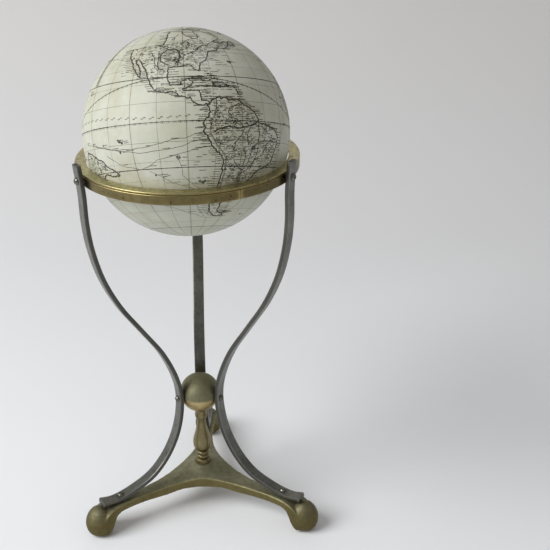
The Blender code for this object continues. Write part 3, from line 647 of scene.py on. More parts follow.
RIVERS = (
    ((-93.7, 30.2), (-93, 34), (-91.8, 36), (-92.4, 40.4), (-96.7, 43), (-103.5, 45.3), (-111, 46)),
    ((-106.3, 41.5), (-105.6, 34.7), (-106, 30.7), (-103.6, 28.6), (-101, 27.8)),
    ((-89.5, 37.5), (-86, 38.6), (-82, 40.2), (-79, 42)),
    ((-90.5, 38.8), (-95, 39.5), (-99, 42), (-103, 44), (-108, 46)),
    ((-91.4, 31.5), (-95, 33.5), (-100, 35), (-104, 36.5)),
    ((-112, 41), (-109, 37), (-107.5, 33), (-107, 29)),
    ((-66, 49.3), (-69, 47.5), (-72.4, 45.4), (-76, 45), (-79, 44)),
    ((-72.4, 46), (-78, 47), (-83.6, 46.6)), ((-82, 52), (-86, 50.5), (-89, 49)),
    ((-93, 57), (-97, 54), (-103, 53.5), (-110, 53)), ((-58.6, -3.2), (-60.5, -7), (-64, -11), (-65, -15)),
    ((-60, -2), (-63, 0.5), (-67, 1.8)), ((-61, 9), (-64, 7.6), (-67, 6.5), (-68, 4), (-66, 2.5)),
    ((-50, -1.6), (-49, -6), (-49.5, -11), (-52.4, -14)), ((-54.6, -2.4), (-57, -7), (-56, -12)),
    ((-57.6, -34), (-59.6, -31.5), (-59, -27), (-57.8, -22), (-57, -17), (-59.5, -14)),
    ((-58.4, -33), (-57.8, -25.5), (-55.3, -23), (-54, -17.5), (-52.8, -14.5)),
    ((-52.7, -25.5), (-50.9, -21.6), (-49.8, -17.4), (-49.2, -13.2)),
    ((-41.2, -18.7), (-39.6, -15.4), (-37.8, -11.6)),
    ((-58.5, -27.4), (-55, -25.5), (-50.5, -20), (-47.5, -18)),
    ((-36, -10.6), (-40, -9), (-43.5, -12), (-45, -17)), ((-57.4, -25.6), (-61, -24), (-64.5, -20)),
    ((-62, -39), (-66, -39), (-70, -38.4)), ((-74, 11), (-74, 7), (-75.6, 3)),
    ((31, 31), (31, 26), (33, 20), (32, 15), (32.5, 9), (31, 3)),
    ((6, 4.6), (6.6, 8), (3, 12), (-3, 16.5), (-9, 12)), ((12.4, -6), (16, -3), (19, 1), (24, 1), (26, -6)),
    ((36, -18.6), (31, -16), (25, -17.5), (22, -13)),
    ((121.6, 31.6), (116, 30), (110, 30.5), (104, 29), (98, 31)),
    ((118, 38), (114, 35), (110, 37), (104, 37)), ((88.6, 22), (85, 25.5), (80, 27.5)),
    ((67.4, 24.2), (70, 28), (73, 32.5)), ((48, 46), (45, 50), (49, 54), (40, 57.6)),
    ((29.4, 45.2), (24, 44), (19, 46), (13, 48.6)), ((73, 66.6), (68, 61), (75, 57.5), (83, 53)),
    ((83, 71), (88, 65), (92, 58)), ((127, 72), (125, 65), (114, 60), (106, 54)),
    ((141, 53), (134, 48.6), (126, 51), (117, 50)),
)
# the greatest river and one province's border, cut as broad as a coast
BROAD_LINES = (
    ((-49.8, 0.4), (-53, -2), (-58, -3), (-63, -3.8), (-68, -3), (-73, -4.2), (-76, -6)),
    ((-99.5, 31), (-104, 33.5), (-105, 38), (-101, 42), (-96, 42.5), (-92.5, 39.5), (-92.5, 35), (-95, 31.5)),
)
LAKES = (
    ((-92, 46.8), (-88, 48.6), (-84.6, 47), (-87.4, 46.4)),
    ((-87.8, 42), (-86.2, 44), (-85, 45.8), (-87.6, 45.4)),
    ((-84, 46), (-80.6, 45.4), (-82, 43), (-83.8, 44.4)), ((-83.2, 41.8), (-79, 43), (-81.4, 41.4)),
    ((-79.6, 43.4), (-76.4, 44.2), (-77.6, 43.2)), ((-99, 51), (-96.5, 53.6), (-97, 50.6)),
    ((-53.6, -14.8), (-51.9, -14.4), (-51.9, -12.8), (-53.4, -13.0)),
    ((47, 42), (51, 37), (53, 40), (52, 46), (48, 46)), ((32, 0.4), (34, 0.2), (33, -2.4)),
    ((104, 51.6), (108, 53.4), (109.6, 55.6), (105, 52)),
)
TRACKS = (
    ((-81.6, -5.2), (-86, -7), (-92, -8.5), (-98, -9), (-103.5, -10.6), (-112, -12), (-122, -12.4),
     (-133, -12), (-146, -9.4), (-158, -7)),
    ((-79, -9.4), (-87, -10.4), (-93, -12.6), (-103, -13.8), (-114, -14.6), (-124, -13.6), (-135, -11.4),
     (-150, -8)),
    ((-77.6, -13), (-86, -14), (-93, -16.4), (-100, -17.6), (-107, -19), (-112, -22.4), (-117, -23.4),
     (-128, -20.8), (-139, -15)), ((-95, -19), (-93.8, -23), (-93.4, -28), (-88, -33), (-83, -36)),
    ((-84, -36.5), (-94, -34), (-101, -31), (-106, -27.4), (-112, -25)),
    ((-100.5, -27.5), (-105, -28.4), (-104, -31.6), (-99, -32)),
    ((-77.6, -55.8), (-84, -49), (-86, -42), (-90, -37)),
    ((-130, -36), (-122, -40), (-108, -46), (-92, -52), (-76, -57), (-62, -56.5), (-52, -48), (-46, -36),
     (-38, -24)),
    ((-10, 36), (-18, 28), (-24, 14), (-26, 0), (-32, -14), (-30, -26), (-14, -36), (6, -38), (22, -37)),
    ((22, -37), (40, -36), (60, -32), (80, -22), (96, -12), (105, -8)),
    ((-6, 46), (-22, 45), (-42, 44), (-60, 43)),
    ((140, 34), (160, 38), (180, 40), (-160, 41), (-142, 40), (-128, 36)),
    ((-164, 12.4), (-180, 13), (150, 13), (126, 13)),
)
LANDS = (NORTH_AMERICA, SOUTH_AMERICA, AFRICA, OLD_WORLD, NEW_HOLLAND, GREENLAND, GUESSED_LAND)
MOUNTAINS = ((-73, 6), (-77, 0), (-78, -6), (-74, -13), (-69, -18), (-69, -26), (-70.5, -36), (-72, -46))

# a land, how many mounds stand on it, and between which latitudes
HILLS = (
    (NORTH_AMERICA, 240, 15, 50), (SOUTH_AMERICA, 300, -54, 12), (AFRICA, 260, -34, 36),
    (OLD_WORLD, 420, 5, 72), (NEW_HOLLAND, 40, -38, -12), (GREENLAND, 20, 60, 80),
    (GUESSED_LAND, 90, -27, -10),
)
HILL_SHAPE = ((-0.8, -0.3), (-0.3, 0.45), (0.1, 0.6), (0.8, -0.4))
PEAK_SHAPE = ((-0.8, -0.4), (-0.2, 0.5), (0.7, -0.5))
# a land, how many notes it has, between which latitudes, and the longest in millimetres
LAND_NOTES = (
    (NORTH_AMERICA, 60, 14, 52, 4.0), (SOUTH_AMERICA, 110, -50, 10, 4.5), (AFRICA, 110, -33, 35, 5.0),
    (OLD_WORLD, 170, 8, 70, 5.0), (NEW_HOLLAND, 14, -36, -14, 5.0), (GUESSED_LAND, 34, -26, -12, 4.0),
)
# millimetres between rows, the share that is written, west, east, lowest and highest latitude, and the land
LAND_ROWS = (
    (1.2, 0.90, -107, -56, 29, 49, NORTH_AMERICA), (1.6, 0.45, -125, -107, 17, 45, NORTH_AMERICA),
    (1.0, 0.95, -103, -93, 33, 42, NORTH_AMERICA), (1.3, 0.70, -107, -84, 9, 29, NORTH_AMERICA),
    (1.35, 0.80, -82, -33, -48, 11, SOUTH_AMERICA),
)
SEA_ROWS = (
    (1.7, 0.60, -82, -60, 9, 20), (1.9, 0.45, -80, -64, 24, 41),
    (2.0, 0.35, -88, -73, -33, 8), (2.2, 0.35, -136, -122, 24, 42),
)

CANCER, POLAR = 23.5, 66.5
ECLIPTIC_TOP = -94.0
GRADED_MERIDIAN, GRADED_FROM, GRADED_TO = -153.0, 24, 67
TICK, LONG_TICK, ECLIPTIC_TICK = 0.75, 1.2, 1.3  # degrees, on the scales

pen = random.Random(41)
DEGREE = PAPER_R * math.radians(1)  # how far a degree of latitude is on the paper
INK_LIFT = 0.004 * MM  # how far a line's middle lies above the paper
INK_HEIGHT = 0.12  # what is left of a round line's height when it is pressed flat


def on_paper(lon, lat):
    """Where a place lies on the globe's surface, about its centre, before the globe is tilted."""
    turn, rise = math.radians(lon) + PRIME, math.radians(lat)
    out = math.cos(rise)
    return PAPER_R * Vector((out * math.cos(turn), out * math.sin(turn), math.sin(rise)))


def stepped(points, step, closed=False):
    """The line with a corner about every step metres."""
    row = list(points) + ([points[0]] if closed else [])
    found = [row[0]]
    for (lon0, lat0), (lon1, lat1) in zip(row, row[1:]):
        over = (lon1 - lon0 + 180) % 360 - 180
        shrink = math.cos(math.radians((lat0 + lat1) / 2))
        count = max(1, round(math.hypot(over * shrink, lat1 - lat0) * DEGREE / step))
        for i in range(1, count + 1):
            found.append((lon0 + over * i / count, lat0 + (lat1 - lat0) * i / count))
    return found


def shaky(points, size, reach):
    """The line as a burin cuts it: pushed about by noise of this grain, up to this many metres."""
    found = []
    for lon, lat in points:
        at = on_paper(lon, lat) / size
        east = noise.noise(at) + 0.5 * noise.noise(at * 2.7)
        north = noise.noise(at + Vector((31, 7, 3))) + 0.5 * noise.noise(at * 2.7 + Vector((5, 2, 9)))
        shrink = max(0.2, math.cos(math.radians(lat)))
        found.append((lon + east * reach / DEGREE / shrink, lat + north * reach / DEGREE))
    return found


def coastline(coast, step):
    """A coast as engraved: closed, except the one whose far end was not yet known."""
    return shaky(stepped(coast, step, coast is not NORTH_AMERICA), 2.0 * MM, 0.90 * MM)


def inside(lon, lat, outline):
    """Whether a place is on the land inside this coast."""
    found = False
    for (lon0, lat0), (lon1, lat1) in zip(outline, outline[1:] + outline[:1]):
        if (lat0 > lat) != (lat1 > lat) and lon < lon0 + (lon1 - lon0) * (lat - lat0) / (lat1 - lat0):
            found = not found
    return found


def on_land(lon, lat):
    return any(inside(lon, lat, coast) for coast in LANDS)


def engrave(name, lines, width, ink):
    """One piece of engraved lines. Each swells and thins a little, and all lie as a low skin on the paper."""
    free()
    curve = bpy.data.curves.new(name, "CURVE")
    curve.dimensions = "3D"
    curve.bevel_depth = width / 2
    curve.bevel_resolution = 0
    curve.use_fill_caps = True
    for line in lines:
        spline = curve.splines.new("POLY")
        spline.points.add(len(line) - 1)
        for point, (lon, lat) in zip(spline.points, line):
            at = on_paper(lon, lat)
            point.co = (*at, 1.0)
            point.radius = 1.0 + 0.45 * noise.noise(at / (2.2 * MM))
    obj = bpy.data.objects.new(name, curve)
    bpy.context.scene.collection.objects.link(obj)
    hold(obj)
    bpy.ops.object.convert(target="MESH")
    obj = bpy.context.object
    for vert in obj.data.vertices:
        away = vert.co.length
        vert.co *= (PAPER_R + INK_LIFT + INK_HEIGHT * (away - PAPER_R)) / away
    settle(obj, GLOBE_AT, POLE_TURN)
    return done(obj, name, ink, "globe", "map_paper", angle=60)


def shifted(lon, lat, east, north):
    """A place some metres east and north of another."""
    return lon + east / DEGREE / max(0.15, math.cos(math.radians(lat))), lat + north / DEGREE


def stroke(lon, lat, shape, size):
    """A small drawn shape of this size, at a place."""
    return [shifted(lon, lat, x * size, y * size) for x, y in shape]


def note(lon, lat, length, height, way=1, slant=0.0):
    """A run of small strokes that stands for a written note and spells nothing."""
    line, gone, up = [], 0.0, 1
    while gone < length:
        tall = height * pen.uniform(0.25, 1.0) * up
        line.append(shifted(lon, lat, way * gone, tall / 2 + slant * gone))
        gone += height * pen.uniform(0.40, 0.85)
        up = -up
    return line if len(line) > 1 else [line[0], shifted(lon, lat, way * length, 0)]


def somewhere(outline, low, high):
    """A place in the box round a land, between two latitudes."""
    lons, lats = [p[0] for p in outline], [p[1] for p in outline]
    return pen.uniform(min(lons), max(lons)), pen.uniform(max(min(lats), low), min(max(lats), high))


def hills(outline, count, low, high):
    """Little mounds scattered over a land, fewer to the degree where the meridians draw together."""
    found = []
    while len(found) < count:
        lon, lat = somewhere(outline, low, high)
        if inside(lon, lat, outline) and pen.random() <= math.cos(math.radians(lat)):
            found.append(stroke(lon, lat, HILL_SHAPE, pen.uniform(0.5, 1.3) * MM))
    return found


def notes_on(outline, count, low, high, longest):
    """Short notes scattered over a land, most of them level."""
    found = []
    while len(found) < count:
        lon, lat = somewhere(outline, low, high)
        if inside(lon, lat, outline):
            slant = pen.choice((0, 0, 0, 0.5, -0.5, 1.2))
            found.append(note(lon, lat, pen.uniform(1.5, longest) * MM, pen.uniform(0.6, 1.0) * MM, 1, slant))
    return found


def rows(spacing, cover, west, east, low, high, land=None):
    """Level rows of small writing over the part of this land, or of the sea, that lies in a box."""

    def fits(lon, lat):
        return inside(lon, lat, land) if land else not on_land(lon, lat)

    found, lat = [], low
    while lat < high:
        lon = west + pen.uniform(0, 3)
        while lon < east:
            length = pen.uniform(2.0, 7.5) * MM
            over = length / DEGREE / math.cos(math.radians(lat))
            if pen.random() < cover and fits(lon, lat) and fits(lon + over, lat):
                found.append(note(lon, lat, length, pen.uniform(0.40, 0.65) * MM))
            lon += over + pen.uniform(0.4, 2.0)
        lat += spacing * MM * pen.uniform(0.8, 1.25) / DEGREE
    return found


def sea_notes(coasts, every):
    """Names of harbours and capes, each run out from its coast over the sea."""
    found = []
    for coast in coasts:
        for lon, lat in stepped(coast, every, True):
            for way in (-1, 1):
                near, far = shifted(lon, lat, way * 1.2 * MM, 0), shifted(lon, lat, way * 5 * MM, 0)
                if abs(lat) < 68 and not on_land(*near) and not on_land(*far) and pen.random() < 0.85:
                    found.append(note(*near, pen.uniform(3.0, 9.0) * MM, 0.60 * MM, way))
    return found


def shore_ticks(coasts, every):
    """Short ruled strokes on the sea side of each coast, all level, as an engraver shades a shore."""
    found = []
    for coast in coasts:
        for lon, lat in coastline(coast, every):
            for way in (-1, 1):
                end = shifted(lon, lat, way * pen.uniform(0.6, 1.1) * MM, 0)
                if not on_land(*shifted(lon, lat, way * 1.3 * MM, 0)):
                    found.append([(lon, lat), end])
    return found


def parallel(lat):
    return [(lon, lat) for lon in range(-180, 181, 3)]


def meridian(lon):
    return [(lon, lat) for lat in range(-84, 85, 3)]


def engrave_net():
    """Meridians every 15 degrees and parallels every 10."""
    net = [meridian(lon) for lon in range(-180, 180, 15)]
    net += [parallel(lat) for lat in range(-80, 81, 10) if lat]
    net = [shaky(stepped(line, 3 * MM), 20 * MM, 0.12 * MM) for line in net]
    engrave("map_net", net, 0.32 * MM, FAINT_INK)


def engrave_circles():
    """Equator, tropics, polar circles and ecliptic, and the scales of degrees along them."""
    ecliptic = []
    for lon in range(-180, 181, 3):
        lift = math.tan(math.radians(CANCER)) * math.cos(math.radians(lon - ECLIPTIC_TOP))
        ecliptic.append((lon, math.degrees(math.atan(lift))))
    circles = [parallel(lat) for lat in (0, CANCER, -CANCER, POLAR, -POLAR)]
    engrave("map_circles", [*circles, ecliptic], 0.85 * MM, DARK_INK)
    # the northern scale of latitudes is a broad dark band
    band = [[(GRADED_MERIDIAN + off, lat) for lat in range(GRADED_FROM, GRADED_TO, 3)] for off in (0, 1.8)]
    engrave("map_latitude_scale", band, 1.5 * MM, DARK_INK)

    scales = [parallel(-TICK), [(lon, lat - TICK) for lon, lat in ecliptic]]
    for lon in range(-180, 180):
        scales.append([(lon, 0), (lon, -TICK if lon % 5 else -LONG_TICK)])
        if lon % 3 == 0:
            at, lat = ecliptic[(lon + 180) // 3]
            scales.append([(at, lat), (at, lat - (TICK if lon % 15 else ECLIPTIC_TICK))])
    for lat in range(GRADED_FROM, GRADED_TO, 2):
        scales.append([(GRADED_MERIDIAN, lat), (GRADED_MERIDIAN - LONG_TICK, lat)])
    engrave("map_scales", scales, 0.20 * MM, FINE_INK)


def engrave_coasts():
    """The coasts, shaded on the sea side, and the small islands, each ringed and ruled across."""
    outlines = [*LANDS, *ISLANDS]
    coasts = [coastline(coast, 0.6 * MM) for coast in outlines]
    coasts += [shaky(stepped(line, 0.9 * MM), 2.5 * MM, 0.5 * MM) for line in BROAD_LINES]
    engrave("map_coasts", coasts, 1.20 * MM, DARK_INK)
    engrave("map_shores", shore_ticks(outlines, 0.8 * MM), 0.32 * MM, FINE_INK)

    islets, corners = [], 7
    for lon, lat, half in ISLETS:
        ring = []
        for turn in (TURN * i / corners for i in range(corners)):
            east = half * math.cos(turn) * pen.uniform(0.6, 1.2)
            north = half * math.sin(turn) * pen.uniform(0.5, 1.1)
            ring.append((lon + east, lat + north))
        islets.append(ring + ring[:1])
        for off in (-0.35, 0.0, 0.35):
            islets.append([(lon - half * 0.7, lat + off * half), (lon + half * 0.7, lat + off * half)])
    engrave("map_islands", islets, 0.55 * MM, DARK_INK)


def engrave_rivers():
    """Rivers and lake shores."""
    waters = [shaky(stepped(line, 0.9 * MM), 2.5 * MM, 0.5 * MM) for line in RIVERS]
    waters += [shaky(stepped(line, 0.8 * MM, True), 2.5 * MM, 0.25 * MM) for line in LAKES]
    engrave("map_rivers", waters, 0.80 * MM, DARK_INK)


def engrave_hills():
    """Mounds on the lands, and the long chain of peaks in the south-west."""
    mounds = [mound for row in HILLS for mound in hills(*row)]
    for lon, lat in stepped(MOUNTAINS, 1.0 * MM):
        mounds.append(stroke(lon, lat, PEAK_SHAPE, pen.uniform(0.7, 1.2) * MM))
    engrave("map_hills", mounds, 0.52 * MM, DARK_INK)


def engrave_notes():
    """Runs of small strokes for all that is written on the lands and over the sea."""
    inland = [line for row in LAND_NOTES for line in notes_on(*row)]
    inland += [line for row in LAND_ROWS for line in rows(*row)]
    engrave("map_land_notes", inland, 0.54 * MM, DARK_INK)

    offshore = [line for row in SEA_ROWS for line in rows(*row)]
    offshore += sea_notes((NORTH_AMERICA, SOUTH_AMERICA, AFRICA, OLD_WORLD, NEW_HOLLAND), 2.1 * MM)
    offshore += sea_notes(ISLANDS, 3.5 * MM)
    for lon, lat, half in ISLETS:
        offshore.append(note(lon + half * 2, lat, pen.uniform(2.5, 5) * MM, 0.5 * MM))
    for line in TRACKS:
        for lon, lat in line[1::2]:
            offshore.append(note(*shifted(lon, lat, 0, 0.9 * MM), pen.uniform(4, 8) * MM, 0.5 * MM))
    engrave("map_sea_notes", offshore, 0.54 * MM, DARK_INK)


def engrave_tracks():
    """The tracks of voyages, and a broken row of waves across the south sea."""
    sailed = [shaky(stepped(line, 1.4 * MM), 9 * MM, 0.8 * MM) for line in TRACKS]
    engrave("map_tracks", sailed, 0.42 * MM, FINE_INK)
    wave = [(x, 0.8 * math.sin(1.5 * x)) for x in (-2.1, -1.4, -0.7, 0, 0.7, 1.4, 2.1)]
    waves = [stroke(-172 + 4.6 * i, 3.4 + 1.2 * math.sin(i / 3.2), wave, MM) for i in range(19)]
    engrave("map_waves", waves, 0.55 * MM, FINE_INK)


# ---------------------------------------------------------------- horizon ring


def make_ring():
    """A flat plate with a rounded outer lip on top of a rolled hoop, whose ends meet in a butt joint."""
    lip = PLATE / 2
    worn = 0.0002
    plate = [(PLATE_INNER_R, RING_TOP - 0.0005), (PLATE_INNER_R + worn, RING_TOP - worn / 2)]
    plate += [(PLATE_INNER_R + (RING_R - lip - PLATE_INNER_R) * i / 5, RING_TOP) for i in range(1, 5)]
    plate += arc(RING_R - lip, RING_TOP - lip, lip, 90, -90, 8)
    plate += [(PLATE_INNER_R + worn, RING_TOP - PLATE), (PLATE_INNER_R, RING_TOP - PLATE + 0.0003)]
    top = lathe(plate, 240, closed=True)
    settle(top, AXIS)
    done(top, "horizon_plate", SHEET_BRASS, "stand", "sheet_brass", "ring_plate", angle=40)

    round_off, thin = 0.0006, HOOP_R - HOOP_WALL
    hoop = arc(HOOP_R - round_off, HOOP_HIGH - round_off, round_off, 90, 0, 3)
    hoop += [(HOOP_R, HOOP_LOW + (HOOP_HIGH - HOOP_LOW) * share) for share in (0.75, 0.5, 0.25)]
    hoop += arc(HOOP_R - round_off, HOOP_LOW + round_off, round_off, 0, -90, 4)
    hoop += arc(thin + round_off, HOOP_LOW + round_off, round_off, -90, -180, 3) + [(thin, HOOP_HIGH)]
    open_turn = BUTT_GAP / HOOP_R
    band = lathe(hoop, 240, closed=True, sweep=TURN - open_turn)
    settle(band, AXIS, (0, 0, BUTT_AT + open_turn / 2))
    done(band, "horizon_hoop", SHEET_BRASS, "stand", "sheet_brass", "ring_hoop", angle=40)


# ---------------------------------------------------------------- straps


def make_straps():
    """Flat bar bent to the line, its width drawn sideways, its thickness and eased edges added."""
    line = eased(STRAP_LINE, 10)
    strap = draw_line(line)
    bpy.ops.mesh.select_all(action="SELECT")
    bpy.ops.transform.translate(value=(0, -STRAP_WIDE / 2, 0))
    strips = 6
    for _ in range(strips):
        bpy.ops.mesh.extrude_region_move(TRANSFORM_OT_translate={"value": (0, STRAP_WIDE / strips, 0)})
    bpy.ops.mesh.select_all(action="SELECT")
    bpy.ops.mesh.normals_make_consistent(inside=False)
    bpy.ops.object.mode_set(mode="OBJECT")
    for vert in strap.data.vertices:
        if vert.co.z < STRAP_LINE[3][1]:
            share = max(0.0, (vert.co.x - FLARE_FROM) / (FLARE_TO - FLARE_FROM))
            vert.co.y *= 1 + STRAP_FLARE * share**2
    work(strap, "SOLIDIFY", thickness=STRAP_THICK, offset=0.0, use_even_offset=True)
    work(strap, "BEVEL", width=0.00055, segments=2, limit_method="ANGLE", angle_limit=math.radians(40))
    lay_along(strap, line)
    for side, degrees in LEGS.items():
        leg = copy_of(strap)
        settle(leg, AXIS, (0, 0, math.radians(degrees)))
        done(leg, "strap_" + side, STEEL, "stand", "strap_steel", "leg_" + side, angle=40)
    bpy.data.objects.remove(strap)


def lay_along(strap, line):
    """Gives each corner its place along the bar, across it and out from its middle, as the scratches run."""
    run = [0.0]
    for a, b in zip(line, line[1:]):
        run.append(run[-1] + math.dist(a, b))
    lay = strap.data.attributes.new("lay", "FLOAT_VECTOR", "POINT")
    for vert, stored in zip(strap.data.vertices, lay.data):
        here = (vert.co.x, vert.co.z)
        near = min(range(len(line)), key=lambda i: math.dist(here, line[i]))
        before, after = Vector(line[max(near - 1, 0)]), Vector(line[min(near + 1, len(line) - 1)])
        ahead = (after - before).normalized()
        out = (Vector(here) - Vector(line[near])).dot(Vector((ahead.y, -ahead.x)))
        stored.vector = (run[near], vert.co.y, out)


# ---------------------------------------------------------------- ball and column


def make_ball():
    """The ball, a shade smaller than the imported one, with a flat seat on the column."""
    seat_r, polished = 0.0050, 0.00005
    seat = -math.degrees(math.acos(seat_r / BALL_R))
    line = arc(0, 0, BALL_R - polished, 90, seat, 56) + [(0, -math.sqrt(BALL_R**2 - seat_r**2))]
    ball = lathe(line, 96)
    settle(ball, AXIS + Vector((0, 0, BALL_Z)))
    done(ball, "turned_ball", TURNED_BRASS, "stand", "turned_brass", "ball", angle=50)


def make_column():
    """A baluster: collar, slim neck, long belly, two beads and a foot ring with a small cove under it."""
    low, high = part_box("column")[0].z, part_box("column")[1].z
    bore = 0.0030
    collar = [(bore, high), (0.0047, high)] + arc(0.0050, high - 0.0014, 0.0011, 80, -40, 5)
    neck = [(0.0056, 0.0975), (0.0061, 0.0962), (0.0061, 0.0948), (0.0056, 0.0922), (0.0047, 0.0903)]
    belly = eased(
        ((0.0044, 0.0893), (0.0043, 0.0865), (0.0053, 0.0805), (0.0070, 0.0738), (0.0086, 0.0680),
         (0.0091, 0.0630), (0.0086, 0.0585), (0.0071, 0.0561), (0.0057, 0.0550)), 4)
    beads = []
    for centre, radius, half in ((0.0522, 0.0047, 0.0020), (0.0475, 0.0047, 0.0019)):
        beads += arc(radius, centre, half, 78, -78, 9)
        beads += [(radius + 0.0001, centre - half - 0.0002)]
    foot = arc(0.0059, 0.0433, 0.0014, 70, 0, 5) + [(0.0074, 0.0424), (0.0074, low), (bore, low)]
    column = lathe(collar + neck + belly + beads + foot, 64, closed=True)
    settle(column, AXIS)
    done(column, "baluster", TURNED_BRASS, "stand", "turned_brass", "column", angle=32)


# ---------------------------------------------------------------- cast base


def make_base():
    """The base as it left the sand: every edge softened, every flat a little uneven."""
    cad = frame["nodes"]["base_casting"]
    base = copy_of(cad)
    base.parent = None
    for key in list(base.keys()):
        del base[key]
    hold(base)
    bpy.ops.object.mode_set(mode="EDIT")
    bpy.ops.mesh.select_all(action="SELECT")
    bpy.ops.mesh.remove_doubles(threshold=1e-6)
    bpy.ops.object.mode_set(mode="OBJECT")
    work(base, "REMESH", mode="VOXEL", voxel_size=0.0008)
    work(base, "SMOOTH", factor=0.5, iterations=18)
    ripple = bpy.data.textures.new("casting", "CLOUDS")
    ripple.noise_scale, ripple.noise_depth = 0.012, 3
    work(base, "DISPLACE", texture=ripple, texture_coords="LOCAL", strength=0.0005, mid_level=0.60)
    for vert in base.data.vertices:
        vert.co.z = max(vert.co.z, 0.0)
    done(base, "cast_base", CAST_BRASS, "stand", "cast_brass", "base_casting", angle=60)


# ---------------------------------------------------------------- screws

SLOT_WIDE, SLOT_DEEP, SCREW_TIP = 0.0008, 0.00085, 0.0005
# head radius, head height, shank radius and length
SCREWS = {
    "ring_screw": (0.0034, 0.0024, 0.0016, 0.0078),
    "ball_screw": (0.0031, 0.0024, 0.0016, 0.0098),
    "foot_screw": (0.0034, 0.0025, 0.0016, 0.0090),
}
FOOT_SCREW_R, RING_SCREW_Z = 0.0905, 0.3595
HEAD_GAP = 0.00015


def make_screw(head_r, head_h, shank_r, length):
    """A round head with a sawn slot, on its shank, standing on its origin."""
    dome = (head_r**2 + head_h**2) / (2 * head_h)
    rim = math.degrees(math.asin((dome - head_h) / dome))
    line = arc(0, head_h - dome, dome, 90, rim + 4, 9)
    line += [(head_r * 0.99, 0.0), (shank_r, 0.0)]
    line += [(shank_r, SCREW_TIP - length), (shank_r - SCREW_TIP, -length), (0, -length)]
    screw = lathe(line, 32)
    free()
    bpy.ops.mesh.primitive_cube_add(size=1, location=(0, 0, head_h))
    saw = bpy.context.object
    saw.scale = (3 * head_r, SLOT_WIDE, 2 * SLOT_DEEP)
    settle(saw, (0, 0, head_h))
    work(screw, "BOOLEAN", operation="DIFFERENCE", object=saw, solver="EXACT")
    bpy.data.objects.remove(saw)
    work(screw, "BEVEL", width=0.00012, segments=1, limit_method="ANGLE", angle_limit=math.radians(50))
    return screw


def screw_places():
    """Where each kind of screw leaves its strap: distance from the axis, height and lean back from level."""
    half = STRAP_THICK / 2 + HEAD_GAP
    foot_end = eased(STRAP_LINE[:4], 12)
    low, high = next((a, b) for a, b in zip(foot_end, foot_end[1:]) if b[0] <= FOOT_SCREW_R <= a[0])
    slope = math.atan2(high[1] - low[1], low[0] - high[0])
    foot_z = low[1] + (high[1] - low[1]) * (low[0] - FOOT_SCREW_R) / (low[0] - high[0])
    upright = math.pi / 2 - slope
    (r0, z0), (r1, z1) = STRAP_LINE[-2:]
    # the strap leans outwards more and more towards its top
    ring_r = r0 + (r1 - r0) * ((RING_SCREW_Z - z0) / (z1 - z0)) ** 1.3
    return {
        "ring_screw": (ring_r + half + 2 * HEAD_GAP, RING_SCREW_Z, -math.atan2(r1 - r0, z1 - z0) / 2),
        "ball_screw": (STRAP_LINE[6][0] + half, BALL_Z, 0.0),
        "foot_screw": (FOOT_SCREW_R + half * math.cos(upright), foot_z + half * math.sin(upright), upright),
    }


def make_screws():
    """Nine screws: three into the ring, three into the ball and three into the arms."""
    for kind, (r, z, lean) in screw_places().items():
        first = make_screw(*SCREWS[kind])
        for number, (side, degrees) in enumerate(LEGS.items()):
            turn = math.radians(degrees)
            screw = copy_of(first)
            # each slot stopped at its own angle
            settle(screw, rotation=(0, 0, 0.7 + 1.1 * number))
            place = AXIS + Vector((r * math.cos(turn), r * math.sin(turn), z))
            settle(screw, place, (0, math.pi / 2 - lean, turn))
            name = f"{kind}_{side}"
            done(screw, "slotted_" + name, SCREW_STEEL, "stand", "screw_steel", name, angle=35)
        bpy.data.objects.remove(first)


def dress_nodes():
    """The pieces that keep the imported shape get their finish."""
    finishes = {
        "axis_pillar": WOOD,
        "equator_lap_ring": PASTEBOARD,
        "tie_rod": SCREW_STEEL,
        "base_washer": SCREW_STEEL,
        "base_nut": SCREW_STEEL,
    }
    for name, material in finishes.items():
        slots = frame["nodes"][name].data.materials
        slots.clear()
        slots.append(material)


# ---------------------------------------------------------------- studio

# name, width and height, place, aim, watts and tint
LIGHTS = (
    ("window", (1.6, 1.6), (-1.8, -0.8, 1.75), (0, -0.15, 0.1), 60.0, "#FFFFFF"),
    ("bounce", (2.2, 1.6), (1.6, -1.8, 1.6), (0, 0, 0.2), 3.6, "#FFD294"),
)
ROOM_TINT, ROOM_STRENGTH = "#E2E4E6", 0.43
FLOOR_Z, REAR_Y, WALL_HIGH, SWEEP_BEND = -0.0003, 1.7, 3.0, 1.2


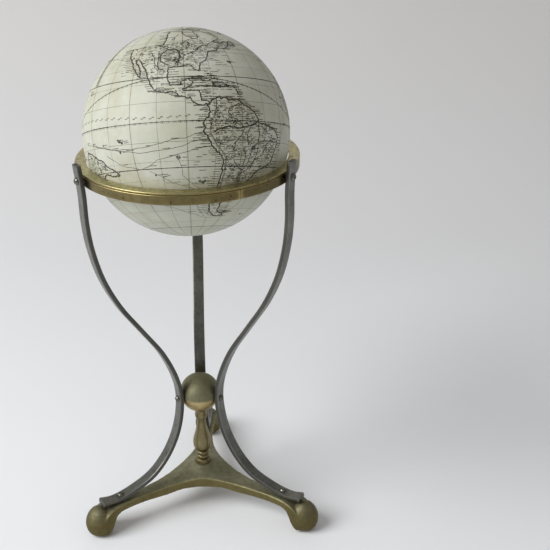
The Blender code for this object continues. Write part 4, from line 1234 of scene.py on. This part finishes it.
def make_studio():
    """A sweep of pale paper, a window-like soft light on the left, and a dim room."""
    free()
    bpy.ops.mesh.primitive_plane_add(size=1)
    sweep = bpy.context.object
    sweep.scale = (7.0, 4.4, 1)
    settle(sweep, (0, -0.4, FLOOR_Z))
    bpy.ops.object.mode_set(mode="EDIT")
    bpy.ops.mesh.select_mode(type="EDGE")
    bpy.ops.mesh.select_all(action="DESELECT")
    edges = bmesh.from_edit_mesh(sweep.data)
    for edge in edges.edges:
        edge.select_set(all(vert.co.y > REAR_Y for vert in edge.verts))
    bpy.ops.mesh.extrude_region_move(TRANSFORM_OT_translate={"value": (0, 0, WALL_HIGH)})
    bpy.ops.object.mode_set(mode="OBJECT")
    work(sweep, "BEVEL", width=SWEEP_BEND, segments=24, limit_method="ANGLE")
    sweep.name = "studio_sweep"
    sweep.data.materials.append(studio_paper())
    hold(sweep)
    bpy.ops.object.shade_smooth()

    for name, size, at, aim, power, tint in LIGHTS:
        lamp = bpy.data.lights.new(name, "AREA")
        lamp.shape, (lamp.size, lamp.size_y) = "RECTANGLE", size
        lamp.energy, lamp.color = power, shade(tint)[:3]
        obj = bpy.data.objects.new(name, lamp)
        obj.location = at
        obj.rotation_euler = (Vector(aim) - Vector(at)).to_track_quat("-Z", "Y").to_euler()
        bpy.context.scene.collection.objects.link(obj)

    room = bpy.data.worlds.new("dim_room")
    room.use_nodes = True
    sky = room.node_tree.nodes["Background"].inputs
    sky["Color"].default_value, sky["Strength"].default_value = shade(ROOM_TINT), ROOM_STRENGTH
    bpy.context.scene.world = room


def make_camera():
    lens = bpy.data.cameras.new("camera")
    lens.sensor_width, lens.lens = 36, 68.76
    camera = bpy.data.objects.new("camera", lens)
    camera.location = (0.05746, -0.89564, 0.65970)
    camera.rotation_euler = [math.radians(v) for v in (64.776, 0.723, -1.475)]
    bpy.context.scene.collection.objects.link(camera)
    bpy.context.scene.camera = camera
    bpy.context.scene.view_settings.view_transform = "Standard"


make_camera()
make_studio()
make_paper()
engrave_net()
engrave_circles()
engrave_coasts()
engrave_rivers()
engrave_hills()
engrave_notes()
engrave_tracks()
make_ring()
make_straps()
make_ball()
make_column()
make_base()
make_screws()
dress_nodes()
free()
